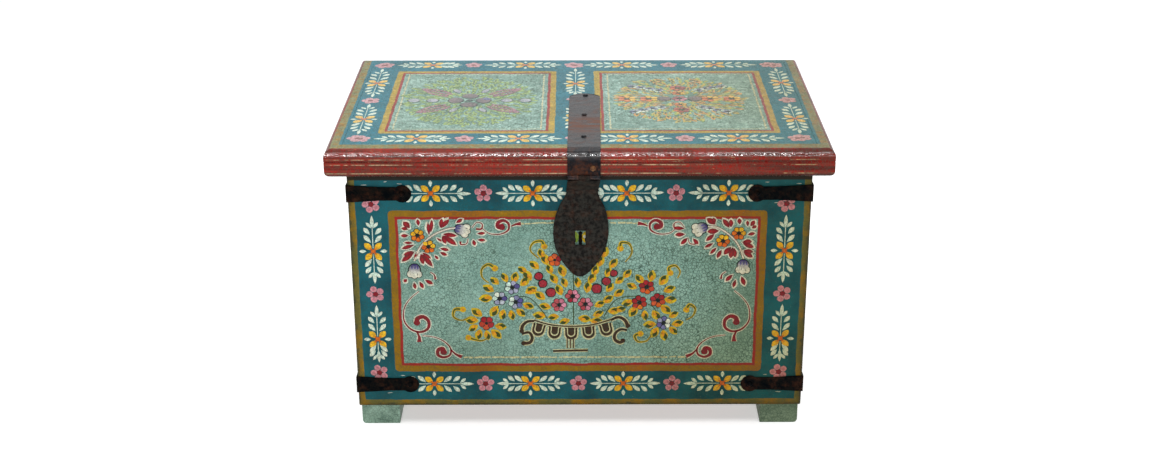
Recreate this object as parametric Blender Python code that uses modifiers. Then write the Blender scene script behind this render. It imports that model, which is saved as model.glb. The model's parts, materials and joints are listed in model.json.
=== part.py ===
"""Painted wooden chest on four block feet, with a hinged lid, iron corner straps and a hasp.

Metres, +Z up, front towards -Y. The origin is on the floor under the middle of the chest.
"""

import math

import bmesh
import bpy
from mathutils import Vector

# Driving dimensions
TOTAL_H = 0.380
LID_W, LID_D, LID_T = 0.610, 0.386, 0.035
OVERHANG = 0.023
FOOT_H = 0.027
BOARD_T = 0.018
BOTTOM_T = 0.012
GAP = 0.0003
EASE = 0.0012

# Lid edge moulding, measured across the strip and up its face
MOULDING_W = 0.020
MOULDING_TOP_R, MOULDING_LOW_R = 0.009, 0.008
QUIRK_DROP, QUIRK_DEPTH, QUIRK_HALF = 0.0150, 0.0008, 0.0007
MITRE_GAP = 0.00022

# Block feet
FOOT_W, FOOT_D, FOOT_INSET, FOOT_ROUND = 0.048, 0.060, 0.003, 0.005

# Iron corner straps: a band that is widest at the corner and ends in a round eye
STRAP_T = 0.0015
STRAP_HALF, STRAP_NECK_HALF = 0.011, 0.0077
EYE_AT, EYE_R = 0.0665, 0.0112
STRAP_HIGH_Z, STRAP_LOW_Z = 0.317, 0.058

# Domed nails
NAIL_HEAD_R, NAIL_HEAD_H, NAIL_SHANK_R, NAIL_SHANK_L = 0.0036, 0.0018, 0.0011, 0.0120
NAIL_HOLE_R = 0.0015
# How far a drill runs past the end of what it cuts
DRILL_OVER = 0.001

# Rear hinges
HINGE_X, HINGE_W, HINGE_LEAF_T, HINGE_DROP = 0.150, 0.056, 0.0016, 0.062
HINGE_LAP = 0.0155
HINGE_NAIL_DROPS = (("upper", 0.022), ("lower", 0.047))
HINGE_BARREL_R, HINGE_BORE_R, HINGE_PIN_R = 0.0040, 0.0021, 0.0018
KNUCKLE_GAP, KNUCKLE_CLEAR = 0.0004, 0.0005
PIN_PROUD = 0.001

# Hasp: a band over the lid, a knuckle at the lid's lower front edge and a broad leaf
HASP_X, HASP_W, HASP_T, HASP_REACH = 0.0050, 0.0396, 0.0015, 0.196
HASP_TOP_DRIFT = 0.0020
# The band's far end is an arc: its radius, its narrowest half width and where it is drawn
HASP_END_R, HASP_END_HALF = 0.0227, 0.004
HASP_END_STEPS = (0, 0.0008, 0.0022, 0.0045, 0.0075, 0.0116)
# Nails through the band: across the chest, and back from the case's front
HASP_NAILS = (("back", 0.0080, 0.188), ("middle", 0.0060, 0.108), ("fore", 0.0050, 0.024))
EDGE_NAIL_X, EDGE_NAIL_Z = 0.0156, 0.358
HASP_BARREL_R, HASP_BORE_R, HASP_PIN_R = 0.0028, 0.0013, 0.0010
HASP_AXIS_AHEAD, HASP_AXIS_RISE = 0.00225, 0.0018
LEAF_T, LEAF_OFF, LEAF_DRIFT = 0.0018, 0.0015, -0.0049
LEAF_TAB_DROP, LEAF_SHOULDER_DROP, LEAF_STEP = 0.0012, 0.0008, 0.0002
LEAF_NECK_HALF, LEAF_NECK_OUT, LEAF_NECK_RISE = 0.0194, 0.0020, 0.0055
SLOT_W, SLOT_H = 0.0128, 0.0190
SLOT_OUT, SLOT_IN = 0.012, 0.004
STAPLE_X, STAPLE_Z, STAPLE_H, STAPLE_OUT = 0.0007, 0.2595, 0.0145, 0.0145
STAPLE_R, STAPLE_BEND_R, STAPLE_ROOT = 0.0021, 0.0035, 0.014

# Derived levels and planes
BODY_W, BODY_D = LID_W - 2 * OVERHANG, LID_D - 2 * OVERHANG
LID_LOW = TOTAL_H - LID_T
BODY_TOP = LID_LOW - HINGE_LEAF_T - 2 * GAP
HASP_FRONT = HASP_AXIS_AHEAD + HASP_BARREL_R
FRONT = -BODY_D / 2 + HASP_FRONT / 2
BACK = FRONT + BODY_D
SIDE = BODY_W / 2
LID_FRONT = FRONT - OVERHANG
HINGE_OFF = HINGE_BARREL_R + KNUCKLE_CLEAR
LID_AXIS = Vector((0, BACK + HINGE_OFF, LID_LOW - HINGE_OFF))
HASP_AXIS = Vector((HASP_X, LID_FRONT - HASP_AXIS_AHEAD, LID_LOW + HASP_AXIS_RISE))
LEAF_SHOULDER_Z = HASP_AXIS.z - HASP_BARREL_R - LEAF_SHOULDER_DROP

CASE = Vector((0, 0, 0))


def clear_scene():
    for obj in list(bpy.data.objects):
        bpy.data.objects.remove(obj, do_unlink=True)


def new_collection(name, parent):
    collection = bpy.data.collections.new(name)
    parent.children.link(collection)
    return collection


def material(name, colour, roughness, metallic=0.0):
    made = bpy.data.materials.new(name)
    made.use_nodes = True
    shader = made.node_tree.nodes["Principled BSDF"]
    shader.inputs["Base Color"].default_value = (*colour, 1)
    shader.inputs["Roughness"].default_value = roughness
    shader.inputs["Metallic"].default_value = metallic
    return made


class Chest:
    """The collections, the joint empties and the holes that wait for their Booleans."""

    def __init__(self):
        scene = bpy.context.scene.collection
        self.parts = new_collection("painted_chest", scene)
        self.cutters = new_collection("cutters", scene)
        self.paint = material("painted_wood", (0.02, 0.09, 0.12), 0.35)
        self.red = material("red_moulding", (0.25, 0.04, 0.03), 0.35)
        self.pale = material("pale_feet", (0.14, 0.22, 0.19), 0.45)
        self.bare = material("inner_wood", (0.12, 0.07, 0.04), 0.75)
        self.iron = material("black_iron", (0.03, 0.025, 0.02), 0.5, 0.8)
        self.lid = self.joint_empty("lid_joint", LID_AXIS, None)
        self.hasp = self.joint_empty("hasp_joint", HASP_AXIS, self.lid)
        self.holes = {}

    def joint_empty(self, name, place, parent):
        empty = bpy.data.objects.new(name, None)
        empty.empty_display_size = 0.02
        self.parts.objects.link(empty)
        self.put(empty, place, parent)
        return empty

    def put(self, obj, place, parent):
        """Sets an object at a world place under its parent."""
        start = LID_AXIS if parent else CASE
        if parent and parent.name == "hasp_joint":
            start = HASP_AXIS
        obj.parent = parent
        obj.location = Vector(place) - start

    def add(self, name, mesh, place, finish, parent=None):
        obj = bpy.data.objects.new(name, mesh)
        if not mesh.materials:
            mesh.materials.append(finish)
        self.parts.objects.link(obj)
        self.put(obj, place, parent)
        return obj

    def helper(self, name, mesh, place):
        """A cutter or a shape that a Boolean joins: never rendered."""
        obj = bpy.data.objects.new(name, mesh)
        obj.hide_render = True
        obj.display_type = "WIRE"
        self.cutters.objects.link(obj)
        obj.location = place
        return obj

    def drill(self, hosts, cutter):
        for host in hosts:
            self.holes.setdefault(host, []).append(cutter)

    def cut_holes(self):
        for host, cutters in self.holes.items():
            group = new_collection("cut_" + host, self.cutters)
            group.hide_render = True
            for cutter in cutters:
                group.objects.link(cutter)
            cut = bpy.data.objects[host].modifiers.new("holes", "BOOLEAN")
            cut.operation = "DIFFERENCE"
            cut.operand_type = "COLLECTION"
            cut.collection = group


def finished(name, bm, place=CASE):
    """The mesh of a bmesh made in world coordinates, with its origin moved to a place."""
    bmesh.ops.recalc_face_normals(bm, faces=bm.faces)
    bmesh.ops.translate(bm, vec=-Vector(place), verts=bm.verts)
    mesh = bpy.data.meshes.new(name)
    bm.to_mesh(mesh)
    bm.free()
    return mesh


def block(name, low, high, ease=0.0):
    """A box between two world corners and its centre; ease takes the sharpness off its edges."""
    low, high = Vector(low), Vector(high)
    bm = bmesh.new()
    bmesh.ops.create_cube(bm, size=1)
    bmesh.ops.scale(bm, vec=high - low, verts=bm.verts)
    if ease:
        bmesh.ops.bevel(bm, geom=bm.edges[:], offset=ease, segments=1, affect="EDGES")
    mesh = bpy.data.meshes.new(name)
    bm.to_mesh(mesh)
    bm.free()
    return mesh, (low + high) / 2


def rod(name, radius, length, sides):
    """A cylinder along X about its own origin."""
    bm = bmesh.new()
    bmesh.ops.create_cone(
        bm, cap_ends=True, segments=sides, radius1=radius, radius2=radius, depth=length
    )
    turn = Vector((0, 0, 1)).rotation_difference(Vector((1, 0, 0))).to_matrix()
    bmesh.ops.rotate(bm, cent=CASE, matrix=turn, verts=bm.verts)
    return finished(name, bm)


def boolean(host, helper, operation):
    step = host.modifiers.new(operation.lower(), "BOOLEAN")
    step.operation = operation
    step.object = helper


def build_case(chest):
    inner = SIDE - BOARD_T
    walls = {
        "front_board": ((-SIDE, FRONT, FOOT_H), (SIDE, FRONT + BOARD_T, BODY_TOP)),
        "back_board": ((-SIDE, BACK - BOARD_T, FOOT_H), (SIDE, BACK, BODY_TOP)),
        "left_end_board": (
            (-SIDE, FRONT + BOARD_T + GAP, FOOT_H),
            (-inner, BACK - BOARD_T - GAP, BODY_TOP),
        ),
        "right_end_board": (
            (inner, FRONT + BOARD_T + GAP, FOOT_H),
            (SIDE, BACK - BOARD_T - GAP, BODY_TOP),
        ),
    }
    for name, (low, high) in walls.items():
        mesh, centre = block(name, low, high, EASE)
        chest.add(name, mesh, centre, chest.paint)
    low = (-inner + GAP, FRONT + BOARD_T + GAP, FOOT_H)
    high = (inner - GAP, BACK - BOARD_T - GAP, FOOT_H + BOTTOM_T)
    mesh, centre = block("bottom_board", low, high)
    chest.add("bottom_board", mesh, centre, chest.bare)


def build_feet(chest):
    for end, x_sign in (("left", -1), ("right", 1)):
        for row, y_sign in (("front", -1), ("rear", 1)):
            name = f"foot_{row}_{end}"
            edge_x = x_sign * (SIDE - FOOT_INSET)
            edge_y = (FRONT + FOOT_INSET) if y_sign < 0 else (BACK - FOOT_INSET)
            xs = sorted((edge_x, edge_x - x_sign * FOOT_W))
            ys = sorted((edge_y, edge_y - y_sign * FOOT_D))
            bm = bmesh.new()
            bmesh.ops.create_cube(bm, size=1)
            size = Vector((FOOT_W, FOOT_D, FOOT_H - GAP))
            bmesh.ops.scale(bm, vec=size, verts=bm.verts)
            outer_low = [
                edge
                for edge in bm.edges
                if all(v.co.z < 0 and v.co.x * x_sign > 0 for v in edge.verts)
            ]
            bmesh.ops.bevel(
                bm, geom=outer_low, offset=FOOT_ROUND, segments=4, affect="EDGES", profile=0.5
            )
            mesh = bpy.data.meshes.new(name)
            bm.to_mesh(mesh)
            bm.free()
            centre = (sum(xs) / 2, sum(ys) / 2, (FOOT_H - GAP) / 2)
            chest.add(name, mesh, centre, chest.pale)


def arc(centre, radius, start, end, steps):
    """Points of an arc between two angles in degrees, in the plane of its two coordinates."""
    angles = [math.radians(start + (end - start) * i / steps) for i in range(steps + 1)]
    return [(centre[0] + radius * math.cos(a), centre[1] + radius * math.sin(a)) for a in angles]


def moulding_profile():
    """The strip's section: distance out from its inner edge, and height."""
    top = arc(
        (MOULDING_W - MOULDING_TOP_R, TOTAL_H - MOULDING_TOP_R), MOULDING_TOP_R, 90, 0, 6
    )
    quirk_z = TOTAL_H - QUIRK_DROP
    quirk = [
        (MOULDING_W, quirk_z + QUIRK_HALF),
        (MOULDING_W - QUIRK_DEPTH, quirk_z),
        (MOULDING_W, quirk_z - QUIRK_HALF),
    ]
    low = arc(
        (MOULDING_W - MOULDING_LOW_R, LID_LOW + MOULDING_LOW_R), MOULDING_LOW_R, 0, -90, 5
    )
    return [(0, TOTAL_H)] + top + quirk + low + [(0, LID_LOW)]


def mitred_strip(name, half_length, inner_edge, outward):
    """A moulding along one side of the lid; its ends are cut at 45 degrees."""
    along = Vector((outward.y, -outward.x, 0))
    middle = Vector((0, (FRONT + BACK) / 2, 0))
    bm = bmesh.new()
    rings = []
    for end in (-1, 1):
        ring = []
        for out, height in moulding_profile():
            reach = half_length - MOULDING_W + out - MITRE_GAP
            place = middle + outward * (inner_edge + out) + along * end * reach
            ring.append(bm.verts.new((place.x, place.y, height)))
        rings.append(ring)
    first, last = rings
    for i, corner in enumerate(first):
        after = (i + 1) % len(first)
        bm.faces.new((corner, first[after], last[after], last[i]))
    bm.faces.new(first)
    bm.faces.new(reversed(last))
    centre = middle + outward * (inner_edge + MOULDING_W / 2) + Vector((0, 0, LID_LOW + LID_T / 2))
    return finished(name, bm, centre), centre


def build_lid(chest):
    half_w, half_d = LID_W / 2, LID_D / 2
    middle = (FRONT + BACK) / 2
    core_w, core_d = half_w - MOULDING_W - GAP, half_d - MOULDING_W - GAP
    mesh, centre = block(
        "lid_board", (-core_w, middle - core_d, LID_LOW), (core_w, middle + core_d, TOTAL_H)
    )
    chest.add("lid_board", mesh, centre, chest.paint, chest.lid)
    sides = (
        ("front", half_w, half_d, Vector((0, -1, 0))),
        ("rear", half_w, half_d, Vector((0, 1, 0))),
        ("left", half_d, half_w, Vector((-1, 0, 0))),
        ("right", half_d, half_w, Vector((1, 0, 0))),
    )
    for side, half_length, reach, outward in sides:
        name = f"lid_{side}_moulding"
        mesh, centre = mitred_strip(name, half_length, reach - MOULDING_W, outward)
        chest.add(name, mesh, centre, chest.red, chest.lid)


def nail_profile():
    """From the top of the domed head down to the point, as (radius, height over the iron)."""
    dome = [
        (NAIL_HEAD_R * math.sin(a), NAIL_HEAD_H * math.cos(a))
        for a in (math.radians(d) for d in (0, 30, 60, 90))
    ]
    end = -NAIL_SHANK_L
    return dome + [(NAIL_SHANK_R, 0), (NAIL_SHANK_R, end + 2 * NAIL_SHANK_R), (0, end)]


def nail_mesh():
    bm = bmesh.new()
    points = [bm.verts.new((radius, 0, height)) for radius, height in nail_profile()]
    for a, b in zip(points, points[1:]):
        bm.edges.new((a, b))
    mesh = bpy.data.meshes.new("nail")
    bm.to_mesh(mesh)
    bm.free()
    return mesh


class Nails:
    """Drives nails: each takes its place on the iron's surface and drills its hosts."""

    def __init__(self, chest):
        self.chest = chest
        self.mesh = nail_mesh()
        bm = bmesh.new()
        bmesh.ops.create_cone(
            bm,
            cap_ends=True,
            segments=8,
            radius1=NAIL_HOLE_R,
            radius2=NAIL_HOLE_R,
            depth=2 * (NAIL_SHANK_L + DRILL_OVER),
        )
        self.hole = finished("nail_hole", bm)

    def drive(self, name, surface, outward, hosts, parent=None):
        outward = Vector(outward)
        place = Vector(surface) + outward * GAP
        turn = Vector((0, 0, 1)).rotation_difference(outward)
        nail = self.chest.add(name, self.mesh, place, self.chest.iron, parent)
        nail.rotation_mode = "QUATERNION"
        nail.rotation_quaternion = turn
        screw = nail.modifiers.new("turned", "SCREW")
        screw.steps = screw.render_steps = 12
        screw.use_merge_vertices = True
        screw.merge_threshold = 0.00001
        cutter = self.chest.helper("hole_" + name, self.hole, place)
        cutter.rotation_mode = "QUATERNION"
        cutter.rotation_quaternion = turn
        self.chest.drill(hosts, cutter)


def ribbon(name, stations):
    """A bent sheet: each station is the middle point of its line and half its width along a side."""
    bm = bmesh.new()
    pairs = [
        (bm.verts.new(point - side), bm.verts.new(point + side)) for point, side in stations
    ]
    for (a, b), (c, d) in zip(pairs, pairs[1:]):
        bm.faces.new((a, b, d, c))
    bmesh.ops.recalc_face_normals(bm, faces=bm.faces)
    mesh = bpy.data.meshes.new(name)
    bm.to_mesh(mesh)
    bm.free()
    return mesh


def bent_plate(chest, name, stations, thickness, place, parent=None):
    """A ribbon with a thickness: half of it lies on each side of the stations."""
    plate = chest.add(name, ribbon(name, stations), place, chest.iron, parent)
    shell = plate.modifiers.new("thickness", "SOLIDIFY")
    shell.thickness = thickness
    shell.offset = 0
    shell.use_even_offset = True
    return plate


def strap_half(s):
    """Half the height of a corner strap at a distance from the corner: a taper, then the eye."""
    taper = STRAP_HALF + (STRAP_NECK_HALF - STRAP_HALF) * s / (EYE_AT - EYE_R)
    inside = EYE_R**2 - (s - EYE_AT) ** 2
    round_end = math.sqrt(inside) if inside > 0 else 0
    return max(round_end, taper if s < EYE_AT else 0)


def strap_stations():
    """Distances from the corner at which a corner strap is drawn."""
    turns = (50, 70, 90, 110, 130, 150, 165, 176)
    eye = [EYE_AT - EYE_R * math.cos(math.radians(turn)) for turn in turns]
    return [0.020, 0.040] + eye


def corner_strap(chest, nails, name, corner, inward, back_way, z, boards):
    """An iron strap folded round a vertical corner. inward and back_way run along its two faces."""
    off = GAP + STRAP_T / 2
    fold = Vector((corner[0], corner[1], z)) - (inward + back_way) * off
    stations = []
    for s in reversed(strap_stations()):
        stations.append((fold + back_way * (s + off), Vector((0, 0, strap_half(s)))))
    stations.append((fold, Vector((0, 0, STRAP_HALF))))
    for s in strap_stations():
        stations.append((fold + inward * (s + off), Vector((0, 0, strap_half(s)))))
    stations = [(point - fold, side) for point, side in stations]
    bent_plate(chest, name, stations, STRAP_T, fold)
    surface = GAP + STRAP_T
    face_board, end_board = boards
    start = Vector((corner[0], corner[1], z))
    nails.drive(
        "nail_" + name + "_face",
        start + inward * EYE_AT - back_way * surface,
        -back_way,
        (name, face_board),
    )
    nails.drive(
        "nail_" + name + "_end",
        start + back_way * EYE_AT - inward * surface,
        -inward,
        (name, end_board),
    )


def build_corner_straps(chest, nails):
    for end, x_sign in (("left", -1), ("right", 1)):
        for row, y, y_sign in (("front", FRONT, 1), ("rear", BACK, -1)):
            for level, z in (("upper", STRAP_HIGH_Z), ("lower", STRAP_LOW_Z)):
                corner_strap(
                    chest,
                    nails,
                    f"strap_{row}_{end}_{level}",
                    (x_sign * SIDE, y),
                    Vector((-x_sign, 0, 0)),
                    Vector((0, y_sign, 0)),
                    z,
                    (f"{'front' if row == 'front' else 'back'}_board", f"{end}_end_board"),
                )


def knuckle_pieces(width):
    """Centres and length of the three knuckles that share a width."""
    length = width / 3 - KNUCKLE_GAP
    return [(-width / 3, length), (0, length), (width / 3, length)]


def join_knuckle(chest, host, x, axis, length, outer_r, bore_r):
    """Joins one knuckle to a leaf and bores it."""
    place = Vector((x, axis.y, axis.z))
    tag = f"{host.name}_{round(x * 1000)}"
    boolean(host, chest.helper("knuckle_" + tag, rod("knuckle", outer_r, length, 16), place), "UNION")
    bore = chest.helper("bore_" + tag, rod("bore", bore_r, length + 4 * DRILL_OVER, 12), place)
    chest.drill([host.name], bore)


def join_block(chest, host, low, high):
    mesh, centre = block("tab", low, high)
    tag = f"tab_{host.name}_{len(host.modifiers)}"
    boolean(host, chest.helper(tag, mesh, centre), "UNION")


def build_hinge(chest, nails, end, x):
    half = HINGE_W / 2
    outer = LID_AXIS.z - HINGE_OFF
    face = BACK + GAP
    mesh, centre = block(
        "leaf", (x - half, face, LID_AXIS.z - HINGE_DROP), (x + half, face + HINGE_LEAF_T, outer)
    )
    case_leaf = chest.add(f"hinge_{end}_case_leaf", mesh, centre, chest.iron)
    under = LID_LOW - GAP
    mesh, centre = block(
        "leaf", (x - half, BACK - HINGE_LAP, under - HINGE_LEAF_T), (x + half, BACK, under)
    )
    lid_leaf = chest.add(f"hinge_{end}_lid_leaf", mesh, centre, chest.iron, chest.lid)
    for number, (offset, length) in enumerate(knuckle_pieces(HINGE_W)):
        at, half_length = x + offset, length / 2
        if number == 1:
            low = (at - half_length, BACK - DRILL_OVER, under - HINGE_LEAF_T)
            join_block(chest, lid_leaf, low, (at + half_length, LID_AXIS.y, under))
            host = lid_leaf
        else:
            low = (at - half_length, face, outer - DRILL_OVER)
            high = (at + half_length, face + HINGE_LEAF_T, LID_AXIS.z)
            join_block(chest, case_leaf, low, high)
            host = case_leaf
        join_knuckle(chest, host, at, LID_AXIS, length, HINGE_BARREL_R, HINGE_BORE_R)
    pin = rod("hinge_pin", HINGE_PIN_R, HINGE_W + 2 * PIN_PROUD, 12)
    chest.add(f"hinge_{end}_pin", pin, (x, LID_AXIS.y, LID_AXIS.z), chest.iron)
    for row, drop in HINGE_NAIL_DROPS:
        nails.drive(
            f"nail_hinge_{end}_{row}",
            (x, face + HINGE_LEAF_T, LID_AXIS.z - drop),
            (0, 1, 0),
            (case_leaf.name, "back_board"),
        )


def hasp_strap_path():
    """Middle line of the band, from its end on the lid down to the knuckle, as (y, z)."""
    off = GAP + HASP_T / 2
    end_y = FRONT + HASP_REACH
    rounded = [(end_y - step, TOTAL_H + off) for step in HASP_END_STEPS]
    centre = (LID_FRONT + MOULDING_TOP_R, TOTAL_H - MOULDING_TOP_R)
    bend = arc(centre, MOULDING_TOP_R + off, 90, 180, 6)
    return rounded + bend + [(LID_FRONT - off, HASP_AXIS.z + HASP_BARREL_R + KNUCKLE_CLEAR)]


def hasp_strap_half(y):
    """Half the width of the band: full, and rounded off over its last few millimetres."""
    drop = HASP_END_R - (FRONT + HASP_REACH - y)
    if drop < 0:
        return HASP_W / 2
    return max(HASP_END_HALF, min(HASP_W / 2, math.sqrt(HASP_END_R**2 - drop**2)))


def build_hasp_strap(chest, nails):
    stations = []
    for y, z in hasp_strap_path():
        drift = HASP_TOP_DRIFT * max(0.0, y - LID_FRONT) / (HASP_REACH + OVERHANG)
        point = Vector((drift, y - HASP_AXIS.y, z - HASP_AXIS.z))
        stations.append((point, Vector((hasp_strap_half(y), 0, 0))))
    strap = bent_plate(chest, "hasp_strap", stations, HASP_T, HASP_AXIS, chest.lid)
    for number, (offset, length) in enumerate(knuckle_pieces(HASP_W)):
        if number == 1:
            continue
        at, half = HASP_X + offset, length / 2
        join_block(
            chest,
            strap,
            (at - half, LID_FRONT - GAP - HASP_T, HASP_AXIS.z + HASP_BORE_R + GAP),
            (at + half, LID_FRONT - GAP, HASP_AXIS.z + HASP_BARREL_R + 2 * KNUCKLE_CLEAR),
        )
        join_knuckle(chest, strap, at, HASP_AXIS, length, HASP_BARREL_R, HASP_BORE_R)
    pin = rod("hasp_pin", HASP_PIN_R, HASP_W + 2 * PIN_PROUD, 12)
    chest.add("hasp_pin", pin, HASP_AXIS, chest.iron, chest.lid)
    top = TOTAL_H + GAP + HASP_T
    for row, x, reach in HASP_NAILS:
        nails.drive(
            f"nail_hasp_{row}",
            (x, FRONT + reach, top),
            (0, 0, 1),
            ("hasp_strap", "lid_board"),
            chest.lid,
        )
    nails.drive(
        "nail_hasp_edge",
        (EDGE_NAIL_X, LID_FRONT - GAP - HASP_T, EDGE_NAIL_Z),
        (0, -1, 0),
        ("hasp_strap", "lid_front_moulding"),
        chest.lid,
    )


# The leaf's outline below its neck: (height, half width)
LEAF_OUTLINE = (
    (0.318, 0.0193),
    (0.312, 0.0215),
    (0.306, 0.0250),
    (0.300, 0.0278),
    (0.290, 0.0312),
    (0.278, 0.0334),
    (0.265, 0.0340),
    (0.255, 0.0329),
    (0.246, 0.0308),
    (0.237, 0.0272),
    (0.228, 0.0222),
    (0.220, 0.0164),
    (0.214, 0.0112),
    (0.210, 0.0066),
    (0.208, 0.0028),
)


def leaf_stations():
    """The leaf: a tab at the knuckle, a neck that slants back to the case, and the spear."""
    tab = HASP_W / 6 - KNUCKLE_GAP
    plate_y = FRONT - LEAF_OFF - LEAF_T / 2
    neck_z = LEAF_OUTLINE[0][0] + LEAF_NECK_RISE
    lines = [
        (HASP_AXIS.y, HASP_AXIS.z - LEAF_TAB_DROP, tab),
        (HASP_AXIS.y, LEAF_SHOULDER_Z + LEAF_STEP, tab),
        (HASP_AXIS.y, LEAF_SHOULDER_Z, HASP_W / 2 - LEAF_STEP),
        (plate_y - LEAF_NECK_OUT, neck_z, LEAF_NECK_HALF),
    ]
    lines += [(plate_y, z, half) for z, half in LEAF_OUTLINE]
    return lines


def build_hasp_leaf(chest):
    fall = LEAF_SHOULDER_Z - LEAF_OUTLINE[-1][0]
    stations = []
    for y, z, half in leaf_stations():
        drift = LEAF_DRIFT * math.sqrt(max(0.0, LEAF_SHOULDER_Z - z) / fall)
        point = Vector((drift, y - HASP_AXIS.y, z - HASP_AXIS.z))
        stations.append((point, Vector((half, 0, 0))))
    leaf = bent_plate(chest, "hasp_leaf", stations, LEAF_T, HASP_AXIS, chest.hasp)
    length = HASP_W / 3 - KNUCKLE_GAP
    join_knuckle(chest, leaf, HASP_X, HASP_AXIS, length, HASP_BARREL_R, HASP_BORE_R)
    half_w, half_h = SLOT_W / 2, SLOT_H / 2
    mesh, centre = block(
        "slot",
        (STAPLE_X - half_w, FRONT - SLOT_OUT, STAPLE_Z - half_h),
        (STAPLE_X + half_w, FRONT + SLOT_IN, STAPLE_Z + half_h),
    )
    chest.drill(["hasp_leaf"], chest.helper("leaf_slot", mesh, centre))


def staple_path():
    """The staple's middle line, from one root in the board round to the other, as (y, z)."""
    leg = STAPLE_H / 2 - STAPLE_R
    tip = FRONT - STAPLE_OUT + STAPLE_R
    root = FRONT + STAPLE_ROOT
    low = arc((tip + STAPLE_BEND_R, -leg + STAPLE_BEND_R), STAPLE_BEND_R, 270, 180, 4)
    high = arc((tip + STAPLE_BEND_R, leg - STAPLE_BEND_R), STAPLE_BEND_R, 180, 90, 4)
    return [(root, -leg)] + low + high + [(root, leg)]


def build_staple(chest):
    curve = bpy.data.curves.new("staple", "CURVE")
    curve.dimensions = "3D"
    curve.bevel_depth = STAPLE_R
    curve.bevel_resolution = 2
    curve.use_fill_caps = True
    spline = curve.splines.new("POLY")
    points = staple_path()
    spline.points.add(len(points) - 1)
    for point, (y, z) in zip(spline.points, points):
        point.co = (0, y - FRONT, z, 1)
    curve.materials.append(chest.iron)
    staple = bpy.data.objects.new("staple", curve)
    chest.parts.objects.link(staple)
    chest.put(staple, (STAPLE_X, FRONT, STAPLE_Z), None)
    leg = STAPLE_H / 2 - STAPLE_R
    for tag, z in (("low", STAPLE_Z - leg), ("high", STAPLE_Z + leg)):
        bm = bmesh.new()
        bmesh.ops.create_cone(
            bm,
            cap_ends=True,
            segments=12,
            radius1=STAPLE_R + 2 * GAP,
            radius2=STAPLE_R + 2 * GAP,
            depth=2 * (STAPLE_ROOT + DRILL_OVER),
        )
        turn = Vector((0, 0, 1)).rotation_difference(Vector((0, 1, 0))).to_matrix()
        bmesh.ops.rotate(bm, cent=CASE, matrix=turn, verts=bm.verts)
        hole = chest.helper("staple_hole_" + tag, finished("hole", bm), (STAPLE_X, FRONT, z))
        chest.drill(["front_board"], hole)


def shade_round_pieces(chest):
    for obj in chest.parts.objects:
        if obj.type == "MESH":
            obj.data.shade_smooth()
            obj.data.set_sharp_from_angle(angle=math.radians(35))


def main():
    clear_scene()
    chest = Chest()
    nails = Nails(chest)
    build_case(chest)
    build_feet(chest)
    build_lid(chest)
    build_corner_straps(chest, nails)
    for end, x in (("left", -HINGE_X), ("right", HINGE_X)):
        build_hinge(chest, nails, end, x)
    build_hasp_strap(chest, nails)
    build_hasp_leaf(chest)
    build_staple(chest)
    chest.cut_holes()
    shade_round_pieces(chest)


main()
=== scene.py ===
"""Looks of the chest: crackled paint, painted flowers, worn red moulding and forged iron."""

import functools
import json
import math
import random
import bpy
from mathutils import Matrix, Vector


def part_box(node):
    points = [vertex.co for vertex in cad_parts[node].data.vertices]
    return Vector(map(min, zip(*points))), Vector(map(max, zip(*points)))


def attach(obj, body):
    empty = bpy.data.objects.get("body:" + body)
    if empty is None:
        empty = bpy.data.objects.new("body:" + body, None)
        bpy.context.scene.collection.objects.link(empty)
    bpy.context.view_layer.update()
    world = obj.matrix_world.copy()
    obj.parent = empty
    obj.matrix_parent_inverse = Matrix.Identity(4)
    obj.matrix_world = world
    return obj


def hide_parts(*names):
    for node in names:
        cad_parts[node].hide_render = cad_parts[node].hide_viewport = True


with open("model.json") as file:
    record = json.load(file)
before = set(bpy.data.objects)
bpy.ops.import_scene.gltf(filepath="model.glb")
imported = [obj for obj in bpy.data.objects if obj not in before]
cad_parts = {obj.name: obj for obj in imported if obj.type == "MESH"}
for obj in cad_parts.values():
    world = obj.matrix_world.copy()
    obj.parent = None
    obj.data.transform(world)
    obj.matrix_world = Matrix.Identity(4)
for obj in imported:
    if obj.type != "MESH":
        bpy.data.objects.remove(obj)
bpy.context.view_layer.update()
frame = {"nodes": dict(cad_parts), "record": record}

from fnmatch import fnmatchcase

import bmesh
import bpy
from mathutils import Vector
from mathutils.noise import noise

MM = 0.001

# Planes and corners of the chest, read from the frame
CASE_LOW, CASE_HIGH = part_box("front_board")[0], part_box("back_board")[1]
SIDE, FRONT, BACK = CASE_HIGH.x, CASE_LOW.y, CASE_HIGH.y
CASE_BASE, CASE_TOP = CASE_LOW.z, CASE_HIGH.z
LID_LOW, LID_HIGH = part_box("lid_front_moulding")[0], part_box("lid_right_moulding")[1]
LID_TOP, LID_FRONT, LID_BACK = LID_HIGH.z, LID_LOW.y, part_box("lid_rear_moulding")[1].y
LID_SIDE = LID_HIGH.x
MIDDLE_Y = (FRONT + BACK) / 2

MEMBERS = frame["record"]["behaviour"]["bodies"]
BODY_OF = {name: body for body, names in MEMBERS.items() for name in names}


def srgb(red, green, blue):
    """A screen colour as the linear values that shaders take."""

    def linear(value):
        value /= 255
        return value / 12.92 if value <= 0.04045 else ((value + 0.055) / 1.055) ** 2.4

    return tuple(linear(value) for value in (red, green, blue))


# ---- shader formulas


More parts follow.
